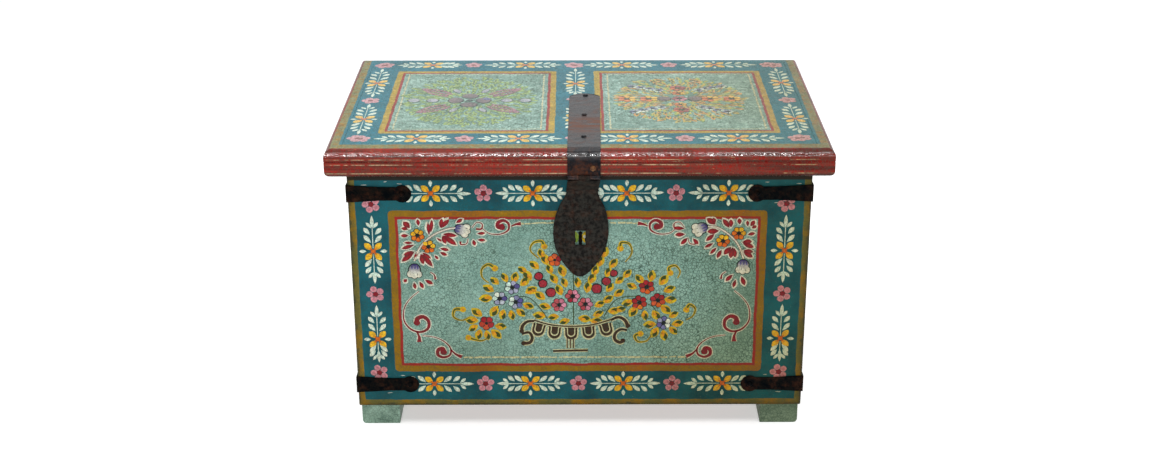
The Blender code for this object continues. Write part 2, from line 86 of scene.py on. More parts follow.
class Number:
    """A number that varies over a surface, so that a shader formula reads as a formula."""

    def __init__(self, shader, socket):
        self.shader, self.socket = shader, socket

    def using(self, operation, *others):
        return self.shader.math(operation, self, *others)

    def __add__(self, other):
        return self.using("ADD", other)

    def __sub__(self, other):
        return self.using("SUBTRACT", other)

    def __rsub__(self, other):
        return self.shader.math("SUBTRACT", other, self)

    def __mul__(self, other):
        return self.using("MULTIPLY", other)

    def __abs__(self):
        return self.using("ABSOLUTE")

    def over(self, edge):
        """1 where this is over the edge, else 0."""
        return self.using("GREATER_THAN", edge)

    def rise(self, low, high):
        """0 up to low, 1 from high on, and a smooth step between."""
        node = self.shader.node("ShaderNodeMapRange", interpolation_type="SMOOTHSTEP")
        for slot, value in zip(node.inputs, (self, low, high, 0, 1)):
            self.shader.feed(slot, value)
        return Number(self.shader, node.outputs[0])

    __radd__, __rmul__ = __add__, __mul__


class Shader:
    """A material made of nodes, read at places given in the chest's own frame."""

    def __init__(self, name):
        self.material = bpy.data.materials.new(name)
        self.material.use_nodes = True
        self.tree = self.material.node_tree
        self.surface = self.tree.nodes["Principled BSDF"]
        self.place = self.node("ShaderNodeTexCoord").outputs["Object"]
        split = self.node("ShaderNodeSeparateXYZ")
        self.feed(split.inputs[0], self.place)
        self.x, self.y, self.z = (Number(self, socket) for socket in split.outputs)

    def node(self, kind, **settings):
        made = self.tree.nodes.new(kind)
        for key, value in settings.items():
            setattr(made, key, value)
        return made

    def feed(self, slot, value):
        if isinstance(value, Number):
            value = value.socket
        if isinstance(value, bpy.types.NodeSocket):
            self.tree.links.new(value, slot)
        elif isinstance(value, tuple):
            slot.default_value = (*value, 1) if len(slot.default_value) == 4 else value
        else:
            slot.default_value = value

    def math(self, operation, *values):
        made = self.node("ShaderNodeMath", operation=operation)
        for slot, value in zip(made.inputs, values):
            self.feed(slot, value)
        return Number(self, made.outputs[0])

    def least(self, first, second):
        return self.math("MINIMUM", first, second)

    def most(self, first, second):
        return self.math("MAXIMUM", first, second)

    def blend(self, share, first, second):
        """Goes from the first number to the second."""
        return first + share * (second - first)

    def mix(self, share, first, second, mode="MIX"):
        made = self.node("ShaderNodeMix", data_type="RGBA", blend_type=mode)
        for slot, value in zip((0, 6, 7), (share, first, second)):
            self.feed(made.inputs[slot], value)
        return made.outputs[2]

    def texture(self, kind, scale, place=None, **settings):
        made = self.node(kind, **settings)
        self.feed(made.inputs["Vector"], place or self.place)
        made.inputs["Scale"].default_value = scale
        return made

    def stretched(self, x, y, z):
        """The place, scaled along each axis, for grain and brush marks."""
        return self.texture("ShaderNodeMapping", (x, y, z)).outputs[0]

    def noise(self, scale, detail=2.0, roughness=0.5, place=None):
        made = self.texture("ShaderNodeTexNoise", scale, place)
        made.inputs["Detail"].default_value = detail
        made.inputs["Roughness"].default_value = roughness
        return Number(self, made.outputs["Fac"])

    def wandering(self, scale, reach):
        """The place, pushed about by up to reach, so that no line is ruled."""
        shift = self.node("ShaderNodeVectorMath", operation="MULTIPLY_ADD")
        self.feed(shift.inputs[0], self.texture("ShaderNodeTexNoise", scale).outputs["Color"])
        shift.inputs[1].default_value = (reach,) * 3
        self.feed(shift.inputs[2], self.place)
        return shift.outputs[0]

    def cracks(self, scale, width, place):
        """1 in the cracks between cells and 0 on the cells."""
        made = self.texture("ShaderNodeTexVoronoi", scale, place, feature="DISTANCE_TO_EDGE")
        return 1 - Number(self, made.outputs["Distance"]).rise(0.0, width)

    def attribute(self, name):
        return Number(self, self.node("ShaderNodeAttribute", attribute_name=name).outputs["Fac"])

    def bump(self, height_mm, strength=1.0):
        made = self.node("ShaderNodeBump")
        made.inputs["Strength"].default_value = strength
        made.inputs["Distance"].default_value = MM
        self.feed(made.inputs["Height"], height_mm)
        for name in ("Normal", "Coat Normal"):
            self.feed(self.surface.inputs[name], made.outputs[0])

    def finish(self, colour, roughness, **fixed):
        self.feed(self.surface.inputs["Base Color"], colour)
        self.feed(self.surface.inputs["Roughness"], roughness)
        for key, value in fixed.items():
            self.surface.inputs[key.replace("_", " ")].default_value = value
        return self.material


# ---- paint

TEAL, TEAL_DEEP = srgb(18, 90, 100), srgb(10, 67, 78)
OCHRE, OCHRE_DEEP, OCHRE_WARM = srgb(150, 112, 12), srgb(124, 88, 8), srgb(154, 84, 16)
LINE_RED = srgb(150, 34, 30)
PALE, PALE_DEEP, PALE_SPOT = srgb(141, 175, 161), srgb(115, 150, 138), srgb(112, 150, 140)
CRACK = srgb(44, 62, 50)
# Amber tint of yellowed varnish, also used to paint the right side's shade
AMBER_VARNISH_AND_SHADE = srgb(216, 204, 176)
# Dark brown for grime at the walls' edges and for painted shade and shadow under the lid
SHADE_AND_SOOT = srgb(34, 26, 18)
RED, RED_DEEP = srgb(150, 36, 26), srgb(104, 22, 17)
WORN = srgb(206, 178, 138)
# Upright paint shines less than the lid, which is waxed and on its edge polished by hands
DULL, WAXED = dict(IOR=1.17), dict(IOR=1.36)
POLISH = dict(IOR=1.25, Coat_Roughness=0.08, Coat_IOR=2.2)
# How close to a wall's outer plane a point has to be to count as painted
SKIN = 1.3 * MM
# Cells per metre of the fine and the wide cracks
FINE_CELLS, WIDE_CELLS = 255, 105
# Half the soft edge of a painted line
LINE_EDGE = 0.35 * MM


def crackle(s):
    """The network of cracks in old varnished paint: (how deep in a crack, tone of each cell)."""
    place = s.wandering(190, 0.0032)
    fine = s.cracks(FINE_CELLS, 0.12, place)
    wide = s.cracks(WIDE_CELLS, 0.026, place)
    patchy = s.noise(26, 3).rise(0.34, 0.60) * 0.4 + 0.6
    cells = s.texture("ShaderNodeTexVoronoi", FINE_CELLS, place)
    tone = s.node("ShaderNodeSeparateColor")
    s.feed(tone.inputs[0], cells.outputs["Color"])
    return s.most(fine * patchy, wide * 0.9), Number(s, tone.outputs[0])


def aged(s, colour, crack_depth, tone_depth=0.12, grime=0.35, ripple=0.0):
    """Cell tones, cracks and grime over a clean colour; crack_depth may vary."""
    crack, tone = crackle(s)
    worked = s.mix(tone * tone_depth, colour, CRACK)
    dirt = s.noise(9, 4, 0.6).rise(0.45, 0.85) * grime
    worked = s.mix(dirt, worked, s.mix(1.0, worked, srgb(150, 140, 110), "MULTIPLY"))
    worked = s.mix(crack * crack_depth, worked, CRACK)
    worked = s.mix(s.noise(420, 4, 0.8).rise(0.62, 0.8) * 0.22, worked, srgb(190, 200, 180))
    brush = s.noise(60, 2)
    s.bump(brush * 0.10 + tone * 0.04 - crack * 0.14 + ripple, 0.8)
    return worked, crack


def yellowed_and_shaded(s, colour):
    """Darkens and yellows a colour more to the right and near the floor, in random patches: the amber tint
    is yellowed varnish, and the darkening to the right is painted shade, as if lit from the left.
    """
    # Painted shade to the right, and darker near the floor
    share = s.x.rise(-0.02, 0.27) * 0.75 + (0.17 - s.z).rise(-0.04, 0.15) * 0.45
    share = share + (s.noise(7, 3) - 0.5) * 0.5
    return s.mix(share.rise(0.0, 1.1), colour, s.mix(1.0, colour, AMBER_VARNISH_AND_SHADE, "MULTIPLY"))


def rounded_box(s, u, v, half_u, half_v, radius):
    """Distance outside a rounded rectangle about 0, 0; negative inside."""
    du, dv = abs(u) - (half_u - radius), abs(v) - (half_v - radius)
    outside = s.math("SQRT", s.most(du, 0) * s.most(du, 0) + s.most(dv, 0) * s.most(dv, 0))
    return outside + s.least(s.most(du, dv), 0) - radius


def framed(s, ground, ochre, box, red_in, pale_in):
    """A pale panel in a red line in an ochre frame, over the ground; box is the distance to it."""
    colour = s.mix(box.rise(LINE_EDGE, -LINE_EDGE), ground, ochre)
    colour = s.mix((box + red_in).rise(LINE_EDGE, -LINE_EDGE), colour, LINE_RED)
    share = (box + pale_in).rise(LINE_EDGE, -LINE_EDGE)
    pale = s.mix(s.noise(14, 4, 0.6).rise(0.3, 0.75), PALE, PALE_DEEP)
    pale = s.mix(s.noise(120, 3, 0.7).rise(0.44, 0.62) * 0.35, pale, PALE_SPOT)
    return s.mix(share, colour, pale), share


def teal_ground(s):
    return s.mix(s.noise(28, 4, 0.6).rise(0.35, 0.7), TEAL, TEAL_DEEP)


def bare_wood(s, colour, deep):
    grain = s.noise(1.0, 5, 0.65, s.stretched(12, 160, 160))
    return s.mix(grain.rise(0.35, 0.7), colour, deep)


def wobble(s):
    """How far a hand-painted edge strays, in metres."""
    return (s.noise(38, 1) - 0.5) * (2.6 * MM) + (s.noise(260, 1) - 0.5) * (1.2 * MM)


# The walls' layout, inwards from their edges: ochre edge, teal border, then the framed panel
WALL_EDGE = 8.2 * MM
WALL_FRAME_IN, WALL_FRAME_RISE, WALL_FRAME_ROUND = 50.5 * MM, 48.5 * MM, 5 * MM
WALL_RED_IN, WALL_PALE_IN = 8 * MM, 11.5 * MM
# The front's panel sits off the middle by this much
FRONT_SHIFT = 2.5 * MM
# The band under the lid where its shadow is painted dark
LID_SHADOW_LOW, LID_SHADOW_HIGH = 9.4 * MM, 7.8 * MM
HANDLED, WORN_TEAL = srgb(84, 98, 54), srgb(66, 70, 48)
WALL_WOOD = srgb(112, 80, 54), srgb(70, 46, 30)


def wall_sides(s):
    """1 on the front, 1 on the front and back, and 1 on the painted outside of any wall."""
    front, back = (FRONT + SKIN - s.y).over(0), (s.y - BACK + SKIN).over(0)
    along = s.most(front, back)
    end = (abs(s.x) - (SIDE - SKIN)).over(0) * (1 - along)
    return front, along, s.most(along, end)


def wall_layout(s, front, along, stray):
    """How far in from its edges a place on a wall is, and how far out of the panel's frame."""
    half_depth, half_z = (BACK - FRONT) / 2, (CASE_TOP - CASE_BASE) / 2
    half = along * (SIDE - half_depth) + half_depth
    v = s.z - (CASE_BASE + CASE_TOP) / 2
    edge = s.least(half - abs(s.blend(along, s.y - MIDDLE_Y, s.x)), s.z - CASE_BASE)
    u = s.blend(along, s.y - MIDDLE_Y, s.x + front * FRONT_SHIFT)
    half_u, half_v = half - WALL_FRAME_IN, half_z - WALL_FRAME_RISE
    return edge + stray, rounded_box(s, u, v, half_u, half_v, WALL_FRAME_ROUND) + stray


def walls_material():
    """All four walls: each face has an ochre edge, a teal border and a framed pale panel."""
    s = Shader("painted_walls")
    front, along, painted = wall_sides(s)
    edge, box = wall_layout(s, front, along, wobble(s))
    handled = s.mix(s.noise(50, 3).rise(0.3, 0.6) * 0.7, OCHRE, HANDLED)
    ground = s.mix(edge.rise(WALL_EDGE + 2 * LINE_EDGE, WALL_EDGE), teal_ground(s), handled)
    ochre = s.mix(s.noise(70, 3), OCHRE, OCHRE_DEEP)
    ochre = s.mix(s.noise(11, 3).rise(0.5, 0.66) * 0.6, ochre, OCHRE_WARM)
    colour, pale = framed(s, ground, ochre, box, WALL_RED_IN, WALL_PALE_IN)
    worn = (s.noise(45, 4, 0.7) - edge * 50).rise(0.32, 0.5)
    colour = s.mix(worn * 0.8, colour, WORN_TEAL)
    crack_depth = pale * (s.x.rise(-0.2, 0.2) * 0.2 + 0.42) + 0.34
    colour, crack = aged(s, yellowed_and_shaded(s, colour), crack_depth, 0.16)
    below_top = CASE_TOP - s.z
    rim = s.least(edge, below_top)
    # Darker within about 11 mm of a wall's edges: grime at its sides and bottom, painted shade under the
    # lid's overhang at its top
    colour = s.mix(rim.rise(11 * MM, -3 * MM) * 0.55, colour, SHADE_AND_SOOT)
    # Painted shadow of the lid's overhang: a dark band at the top of each wall
    colour = s.mix(below_top.rise(LID_SHADOW_LOW, LID_SHADOW_HIGH) * 0.95, colour, SHADE_AND_SOOT)
    colour = s.mix(painted, bare_wood(s, *WALL_WOOD), colour)
    shine = s.noise(30, 3) * 0.22 + 0.24 + crack * 0.3 + (1 - painted) * 0.3
    return s.finish(colour, shine, **DULL)


# The lid's two panels, left then right: middle and half width
LID_PANELS = (-138.6 * MM, 108 * MM), (132.8 * MM, 113 * MM)
# The panels' middle behind the case's front, half depth and corner radius
LID_PANEL_BACK, LID_PANEL_HALF, LID_PANEL_ROUND = 171.5 * MM, 131 * MM, 3 * MM
LID_RED_IN, LID_PALE_IN = 7.5 * MM, 11 * MM
# How far in the ochre band reaches from the lid's ends, front and back
BAND_SIDE, BAND_FRONT, BAND_BACK = 15.7 * MM, 22.6 * MM, 6.4 * MM
# Where one panel's side of the lid ends, how far in the red edge reaches, and its roundover
PANELS_MEET, RED_IN, EDGE_ROUND = -5 * MM, 8.6 * MM, 9.5 * MM
LID_OCHRE, LID_OCHRE_DEEP = srgb(190, 160, 54), srgb(160, 134, 48)
LID_WOOD = srgb(98, 70, 48), srgb(60, 40, 26)
# The lid's teal is a lighter, bluer copy of the walls' teal: painted light on the top
LID_LIT_TEAL, BLEACHED, RUBBED = srgb(8, 122, 142), srgb(184, 216, 204), srgb(126, 148, 106)


def lid_top(s, stray, side_in, front_in, rear_in):
    """Colour of the lid's painted top, and 1 on its pale panels."""
    ends = (side_in + stray).rise(BAND_SIDE + 0.8 * MM, BAND_SIDE)
    front = (front_in + stray).rise(BAND_FRONT + 0.8 * MM, BAND_FRONT)
    back = (rear_in + stray).rise(BAND_BACK + 0.6 * MM, BAND_BACK)
    band = s.most(ends, s.most(front, back))
    rubbed = s.mix(s.noise(120, 4, 0.7).rise(0.38, 0.56) * 0.9, OCHRE, RUBBED)
    # Painted light: the lid's teal ground is lightened towards a brighter teal
    ground = s.mix(0.6, teal_ground(s), LID_LIT_TEAL)
    colour = s.mix(band, ground, s.mix(s.noise(60, 3) * 0.7, rubbed, OCHRE_DEEP))
    right = s.x.over(PANELS_MEET)
    middles, halves = zip(*LID_PANELS)
    u, v = s.x - s.blend(right, *middles), s.y - (FRONT + LID_PANEL_BACK)
    box = rounded_box(s, u, v, s.blend(right, *halves), LID_PANEL_HALF, LID_PANEL_ROUND) + stray
    ochre = s.mix(s.noise(70, 3), LID_OCHRE, LID_OCHRE_DEEP)
    colour, pale = framed(s, colour, ochre, box, LID_RED_IN, LID_PALE_IN)
    bleached = s.noise(90, 4, 0.75).rise(0.48, 0.6) * pale
    return s.mix(bleached * 0.5, colour, BLEACHED), pale


def lid_material():
    """Lid and its mouldings: red edge, ochre band, teal border and two framed pale panels."""
    s = Shader("painted_lid")
    stray = wobble(s)
    top = (s.z - (LID_TOP - EDGE_ROUND)).over(0)
    side_in, front_in, rear_in = LID_SIDE - abs(s.x), s.y - LID_FRONT, LID_BACK - s.y
    colour, pale = lid_top(s, stray, side_in, front_in, rear_in)
    red_in = s.least(side_in + 3 * MM, s.least(front_in, rear_in + 4 * MM)) + stray * 0.5
    red = s.most(red_in.rise(RED_IN + 0.8 * MM, RED_IN), 1 - top)
    streaks = s.noise(1.0, 4, 0.6, s.stretched(9, 9, 320))
    colour = s.mix(red, colour, s.mix(streaks.rise(0.38, 0.66), RED, RED_DEEP))
    colour = s.mix(worn_lines(s) * red, colour, WORN)
    ripple = red * s.noise(300, 1, 0.4) * 0.7
    colour, crack = aged(s, yellowed_and_shaded(s, colour), pale * 0.4 + 0.5, 0.34, 0.35, ripple)
    # Painted shade: the lid's lower edge is darkened where its round turns downwards
    colour = s.mix((s.z - LID_LOW.z).rise(8 * MM, 2 * MM) * 0.75, colour, SHADE_AND_SOOT)
    underside = (LID_LOW.z + 0.4 * MM - s.z).over(0)
    colour = s.mix(underside, colour, bare_wood(s, *LID_WOOD))
    shine = s.noise(30, 3) * 0.14 + 0.2 + crack * 0.25 + underside * 0.3 - red * 0.08
    s.feed(s.surface.inputs["IOR"], s.blend(top * (1 - red), 1.19, 1.33))
    s.feed(s.surface.inputs["Coat Weight"], red * polished_band(s))
    return s.finish(colour, shine, **POLISH)


def polished_band(s):
    """1 on the lower half of the lid's upper roundover, which hands have polished."""
    return (LID_TOP - s.z).rise(2.5 * MM, 4 * MM) * (s.z - LID_TOP).rise(-8.5 * MM, -7 * MM)


# Lines where the lid's edge is rubbed: height from the lid's top and width, in mm
RUBBED_LINES = ((-11.5, 0.35), (-18.0, 0.5), (-29.0, 0.6))


def worn_lines(s):
    """Rubbed paint along the arrises of the lid's edge moulding, in broken lines."""
    sway = (s.noise(14, 3) - 0.5) * (3 * MM)
    broken = s.noise(34, 5, 0.75, s.stretched(1, 1, 0.3)).rise(0.44, 0.58)
    lines = []
    for height, width in RUBBED_LINES:
        away = abs(s.z + sway * 0.25 - (LID_TOP + height * MM))
        lines.append(1 - away.rise(width * MM * 0.4, width * MM * 1.6))
    rubbed = s.noise(110, 5, 0.8, s.stretched(0.3, 0.3, 1.6)).rise(0.64, 0.72)
    return s.most(functools.reduce(s.most, lines) * broken, rubbed * 0.7)


def foot_material():
    s = Shader("painted_feet")
    pale = s.mix(s.noise(40, 4, 0.6).rise(0.3, 0.75), srgb(150, 182, 168), srgb(104, 134, 122))
    # Painted shade: the feet darken towards the right, as if lit from the left
    pale = s.mix(s.x.rise(0.0, 0.25) * 0.4, pale, srgb(84, 104, 100))
    colour, crack = aged(s, yellowed_and_shaded(s, pale), 0.7)
    return s.finish(colour, crack * 0.3 + 0.38, **DULL)


def bare_material():
    s = Shader("inner_wood")
    s.bump(s.noise(1.0, 4, 0.6, s.stretched(20, 260, 260)) * 0.3)
    return s.finish(bare_wood(s, *WALL_WOOD), s.noise(40) * 0.2 + 0.6, IOR=1.4)


RUST, RUST_LOW = srgb(96, 56, 36), srgb(104, 56, 30)
# How far behind the lid's front the rust streaks cross the hasp's strap
STREAKS_BACK = 92 * MM


def rust_spots(s):
    return s.noise(70, 5, 0.75).rise(0.46, 0.72)


def rusted(s, dark, light, rust):
    colour = s.mix(s.noise(210, 4, 0.7).rise(0.38, 0.62), light, dark)
    return s.mix(rust, colour, RUST)


def hammered(s):
    """Dents and pits; gives how rough the pits are."""
    dents, pits = s.noise(90, 2), s.noise(600, 3, 0.7)
    s.bump(dents * 0.55 + pits * 0.12, 0.8)
    return pits


def iron_material(name, dark, light, rust_share, ior):
    s = Shader(name)
    rust = rust_spots(s)
    colour = rusted(s, dark, light, rust * rust_share)
    return s.finish(colour, rust * 0.3 + hammered(s) * 0.15 + 0.27, IOR=ior)


def waxed_iron_material():
    """The hasp's strap: waxed on top, with rust streaks across it and a polished bend."""
    s = Shader("waxed_iron")
    band = 1 - abs(s.y - (LID_FRONT + STREAKS_BACK)).rise(14 * MM, 40 * MM)
    streaks = s.noise(40, 5, 0.75, s.stretched(0.7, 3.2, 1)).rise(0.42, 0.56)
    rust = s.most(rust_spots(s) * 0.5, streaks * band)
    colour = rusted(s, srgb(20, 22, 26), srgb(34, 34, 37), rust * 0.85)
    low = (LID_TOP - 14 * MM - s.z).rise(0, 8 * MM)
    patch = s.noise(150, 4, 0.75).rise(0.46, 0.66)
    colour = s.mix(patch * low * 0.45, colour, RUST_LOW)
    knuckle = (LID_LOW.z + 5 * MM - s.z).rise(0, 1 * MM) * 0.7
    waxed = s.most((s.z - LID_TOP).rise(-14 * MM, -8 * MM), knuckle)
    s.feed(s.surface.inputs["IOR"], s.blend(waxed, 1.08, 1.34))
    s.feed(s.surface.inputs["Coat Weight"], polished_band(s))
    return s.finish(colour, rust * 0.3 + hammered(s) * 0.1 + 0.20, **POLISH)


# ---- brush strokes

# Each paint: colour at the start of a stroke, colour at its end
PAINTS = {
    "white": ((196, 222, 208), (226, 232, 212)),
    "cream": ((206, 202, 160), (196, 190, 140)),
    "yellow": ((226, 160, 22), (240, 194, 46)),
    "orange": ((206, 84, 24), (222, 120, 30)),
    "pink": ((176, 96, 110), (206, 140, 150)),
    "maroon": ((118, 18, 34), (136, 26, 40)),
    "crimson": ((150, 22, 34), (168, 36, 44)),
    "olive": ((52, 60, 20), (64, 76, 26)),
    "amber": ((206, 132, 24), (224, 156, 30)),
    "brown": ((52, 32, 22), (64, 40, 26)),
    "ink": ((26, 26, 30), (30, 30, 34)),
    "lilac": ((104, 104, 158), (196, 202, 206)),
    "violet": ((56, 46, 112), (104, 96, 158)),
    "scarlet": ((176, 44, 34), (208, 92, 48)),
    "lime": ((128, 160, 50), (160, 182, 70)),
    "moss": ((70, 96, 44), (84, 112, 56)),
    "gold": ((206, 168, 20), (198, 172, 34)),
    "cherry": ((150, 24, 44), (196, 90, 96)),
    "rose": ((196, 110, 132), (214, 140, 160)),
    "sunset": ((224, 122, 26), (214, 96, 30)),
    "bell": ((52, 36, 112), (226, 226, 208)),
    "petal": ((212, 212, 196), (222, 218, 196)),
    "chip": ((176, 190, 186), (190, 196, 186)),
    "plum": ((84, 52, 62), (116, 80, 88)),
    "pearl": ((146, 144, 158), (174, 172, 182)),
    "berry": ((140, 56, 82), (172, 92, 112)),
}
# Pale sheen painted over the lid's strokes
LID_PAINTED_SHEEN = srgb(170, 192, 186)
# How thick the paint lies at each level, in mm
HEIGHTS = (0.10, 0.17, 0.26, 0.38, 0.52)


@functools.cache
def stroke_material(name, body):
    s = Shader(f"{body}_paint_{name}")
    colour = s.mix(s.attribute("along"), *(srgb(*shade) for shade in PAINTS[name]))
    thin = s.mix(1.0, colour, srgb(160, 150, 130), "MULTIPLY")
    colour = s.mix(s.noise(160, 3).rise(0.35, 0.75) * 0.3, colour, thin)
    # Painted sheen: the lid's strokes are paled towards a grey-green haze
    if body == "lid":
        colour = s.mix(0.22, colour, LID_PAINTED_SHEEN)
    colour, crack = aged(s, yellowed_and_shaded(s, colour), 0.5, 0.10, 0.2)
    return s.finish(colour, crack * 0.3 + 0.3, **(WAXED if body == "lid" else DULL))


def put_in_scene(name, data):
    made = bpy.data.objects.new(name, data)
    bpy.context.scene.collection.objects.link(made)
    return made


def add_piece(mesh, finish, body):
    mesh.materials.append(finish)
    piece = put_in_scene(mesh.name, mesh)
    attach(piece, body)
    return piece


class Face:
    """A flat side of the chest to paint on. u runs right, v up and h out of it, in mm."""

    def __init__(self, name, body, start, right, up, bold=1.0):
        self.name, self.body, self.bold = name, body, bold
        self.start, self.right, self.up = Vector(start), Vector(right), Vector(up)
        self.out = self.right.cross(self.up)
        self.layers = {}
        self.hand = random.Random(name)

    def add(self, paint, points, faces, along):
        """Adds a closed shape: points as (u, v, h), and how far along the stroke each one is."""
        verts, polygons, shades = self.layers.setdefault(paint, ([], [], []))
        first = len(verts)
        for u, v, h in points:
            verts.append(self.start + (self.right * u + self.up * v + self.out * h) * MM)
        polygons.extend([first + i for i in face] for face in faces)
        shades.extend(along)

    def make_pieces(self):
        for paint, (verts, polygons, shades) in self.layers.items():
            mesh = bpy.data.meshes.new(f"{self.name}_{paint}")
            mesh.from_pydata(verts, [], polygons)
            mesh.attributes.new("along", "FLOAT", "POINT").data.foreach_set("value", shades)
            mesh.shade_smooth()
            add_piece(mesh, stroke_material(paint, self.body), self.body)


# How deep in the wood a stroke starts, in mm
BASE_H = -0.06
# A dome's shoulder: its share of the outline's size and of the dome's height
RIM_SHARE, RIM_H = 0.80, 0.78


def blob(face, paint, outline, level, along):
    """A low dome of paint on an outline that runs anticlockwise."""
    count, high = len(outline), HEIGHTS[level]
    mid_u, mid_v = (sum(p[i] for p in outline) / count for i in (0, 1))
    points = [(u, v, BASE_H) for u, v in outline]
    for u, v in outline:
        points.append((mid_u + (u - mid_u) * RIM_SHARE, mid_v + (v - mid_v) * RIM_SHARE, high * RIM_H))
    points.append((mid_u, mid_v, high))
    faces = [list(reversed(range(count)))]
    for i in range(count):
        j = (i + 1) % count
        faces.append([i, j, count + j, count + i])
        faces.append([count + i, count + j, 2 * count])
    face.add(paint, points, faces, list(along) * 2 + [sum(along) / count])


def turned(u, v, angle, s, t=0):
    """The point s along and t across a direction from u, v."""
    c, d = math.cos(math.radians(angle)), math.sin(math.radians(angle))
    return (u + c * s - d * t, v + d * s + c * t)


def ahead(u, v, angle, s, t=0):
    """The same point, followed by the direction."""
    return (*turned(u, v, angle, s, t), angle)


def leaf(face, paint, u, v, angle, length, width, level=0, fat=1.0, steps=5):
    """A leaf or petal from u, v. fat over 1 puts its widest place nearer the tip."""
    angle += face.hand.uniform(-3, 3)
    shares = [i / steps for i in range(steps + 1)]
    halves = [width / 2 * math.sin(math.pi * t ** fat) ** 0.8 for t in shares]
    halves[0] = halves[-1] = 0.0
    lower = [turned(u, v, angle, length * t, -h) for t, h in zip(shares, halves)]
    upper = [turned(u, v, angle, length * t, h) for t, h in zip(shares, halves)]
    outline = lower + upper[-2:0:-1]
    blob(face, paint, outline, level, shares + shares[-2:0:-1])


def dot(face, paint, u, v, radius, level=0, sides=10, shade=0.5):
    """A round dab; shade goes from the paint's first colour to its last."""
    outline = []
    for i in range(sides):
        outline.append(turned(u, v, 360 * i / sides, radius * face.hand.uniform(0.92, 1.06)))
    blob(face, paint, outline, level, [shade] * sides)


def eased(p, q, r, s, t):
    """Between q and r by Catmull and Rom's rule, with p before them and s after."""
    square, cube = 2 * p - 5 * q + 4 * r - s, 3 * q - p - 3 * r + s
    return 0.5 * (2 * q + (r - p) * t + square * t * t + cube * t**3)


def smooth_line(points, steps=5):
    """A smooth line through points of any length."""
    ends = [points[0]] + list(points) + [points[-1]]
    line = []
    for four in zip(ends, ends[1:], ends[2:], ends[3:]):
        for i in range(steps):
            line.append(tuple(eased(*values, i / steps) for values in zip(*four)))
    return line + [tuple(points[-1])]


def stroke(face, paint, points, level=0, steps=5):
    """A brush line through (u, v, width) points: a low ridge with tapered ends."""
    line = smooth_line(points, steps)
    high, last = HEIGHTS[level], len(line) - 1
    verts, shades = [], []
    for i, (u, v, width) in enumerate(line):
        (au, av, _), (bu, bv, _) = line[max(0, i - 1)], line[min(last, i + 1)]
        length = math.hypot(bu - au, bv - av) or 1.0
        nu, nv = -(bv - av) / length, (bu - au) / length
        half = max(0.15, width / 2)
        inner, top = half * 0.6, high * min(1, 2 * half) * 0.8
        for across, h in ((half, BASE_H), (inner, top), (-inner, top), (-half, BASE_H)):
            verts.append((u + nu * across, v + nv * across, h))
            shades.append(i / last)
    faces = [[0, 1, 2, 3], [4 * last + 3, 4 * last + 2, 4 * last + 1, 4 * last]]
    for i in range(last):
        for k in range(4):
            m = (k + 1) % 4
            faces.append([4 * i + k, 4 * i + 4 + k, 4 * i + 4 + m, 4 * i + m])
    face.add(paint, verts, faces, shades)


def wider(line, extra):
    return [(u, v, width + extra) for u, v, width in line]


def on_halo(face, halo, paint, line, extra, steps=5):
    """A stroke on a broader one that shows as a thin outline."""
    stroke(face, halo, wider(line, extra), 0, steps)
    stroke(face, paint, line, 1, steps)


# ---- motifs of the teal borders

def orange_flower(face, u, v, run):
    """Four yellow petals across a run, an orange heart and a white dash on each side."""
    for angle in (42, 138, 222, 318):
        at = turned(u, v, run + angle, 1.5)
        leaf(face, "yellow", *at, run + angle, 14.2 * face.bold, 8.2 * face.bold, 1, 1.2, 7)
        leaf(face, "orange", *at, run + angle, 6.0, 2.2, 2, 0.8)
    for side in (-90, 90):
        at = turned(u, v, run + side, 8.0)
        leaf(face, "white", *at, run + side, 9.6, 5.0, 0, 1.2)
    dot(face, "orange", u, v, 3.2, 3, 8)


def pink_flower(face, u, v, run):
    for i in range(5):
        at = turned(u, v, run + 90 + 72 * i, 7.2)
        dot(face, "pink", *at, 4.6 * face.bold, 1, 9, shade=1.0)
        dot(face, "pink", *at, 2.7, 2, 7, shade=0.55)
    dot(face, "maroon", u, v, 3.9, 3, 7)


# Leaves of a sprig: how far along it, how far beside it, length and width
SPRIG_LEAVES = ((11.0, 1.8, 14.6, 6.0), (22.4, 3.0, 12.4, 6.0), (31.0, 0.8, 10.6, 4.4))
SPRIG_LENGTH = 48


def sprig(face, u, v, angle, length):
    """The white sprig beside an orange flower: a stem, three pairs of leaves and a tip."""
    stretch = length / SPRIG_LENGTH
    a, b = turned(u, v, angle, 4), turned(u, v, angle, length - 8)
    stroke(face, "white", [(*a, 1.2), (*b, 1.2)], 0, 2)
    for along, beside, size, width in SPRIG_LEAVES:
        for side in (-1, 1):
            at = turned(u, v, angle, along * stretch, side * beside)
            leaf(face, "white", *at, angle + side * 41, size * face.bold, width * face.bold, 1, 1.3)
    leaf(face, "white", *ahead(u, v, angle, length - 17), 18, 5.0, 1, 0.9)


def border_run(face, across, run, places, ended=True):
    """Pink and orange flowers in turn along a border; ended leaves a pink one at each end."""
    last = len(places) - 1
    for i, place in enumerate(places):
        spot = (place, across) if run == 0 else (across, place)
        if i % 2:
            orange_flower(face, *spot, run)
            for way in (-1, 1):
                sprig(face, *spot, run + 90 * (1 - way), abs(places[i + way] - place) - 15)
        elif ended or 0 < i < last:
            pink_flower(face, *spot, run)


# Heights of the lower and upper runs on the walls, and of the flowers between them
RUN_LOW, RUN_HIGH = 58, 317
UPRIGHT_PLACES = 74, 121, 183, 241, 303


def paint_front_border(face):
    border_run(face, RUN_HIGH, 0, (-241, -181, -117, -57, 2), False)
    border_run(face, RUN_HIGH, 0, (0, 57, 117, 181, 240), False)
    border_run(face, RUN_LOW, 0, (-245, -185, -120, -63, -2, 55, 117, 181, 240), False)
    for u in (-254, 252):
        border_run(face, u, 90, UPRIGHT_PLACES)


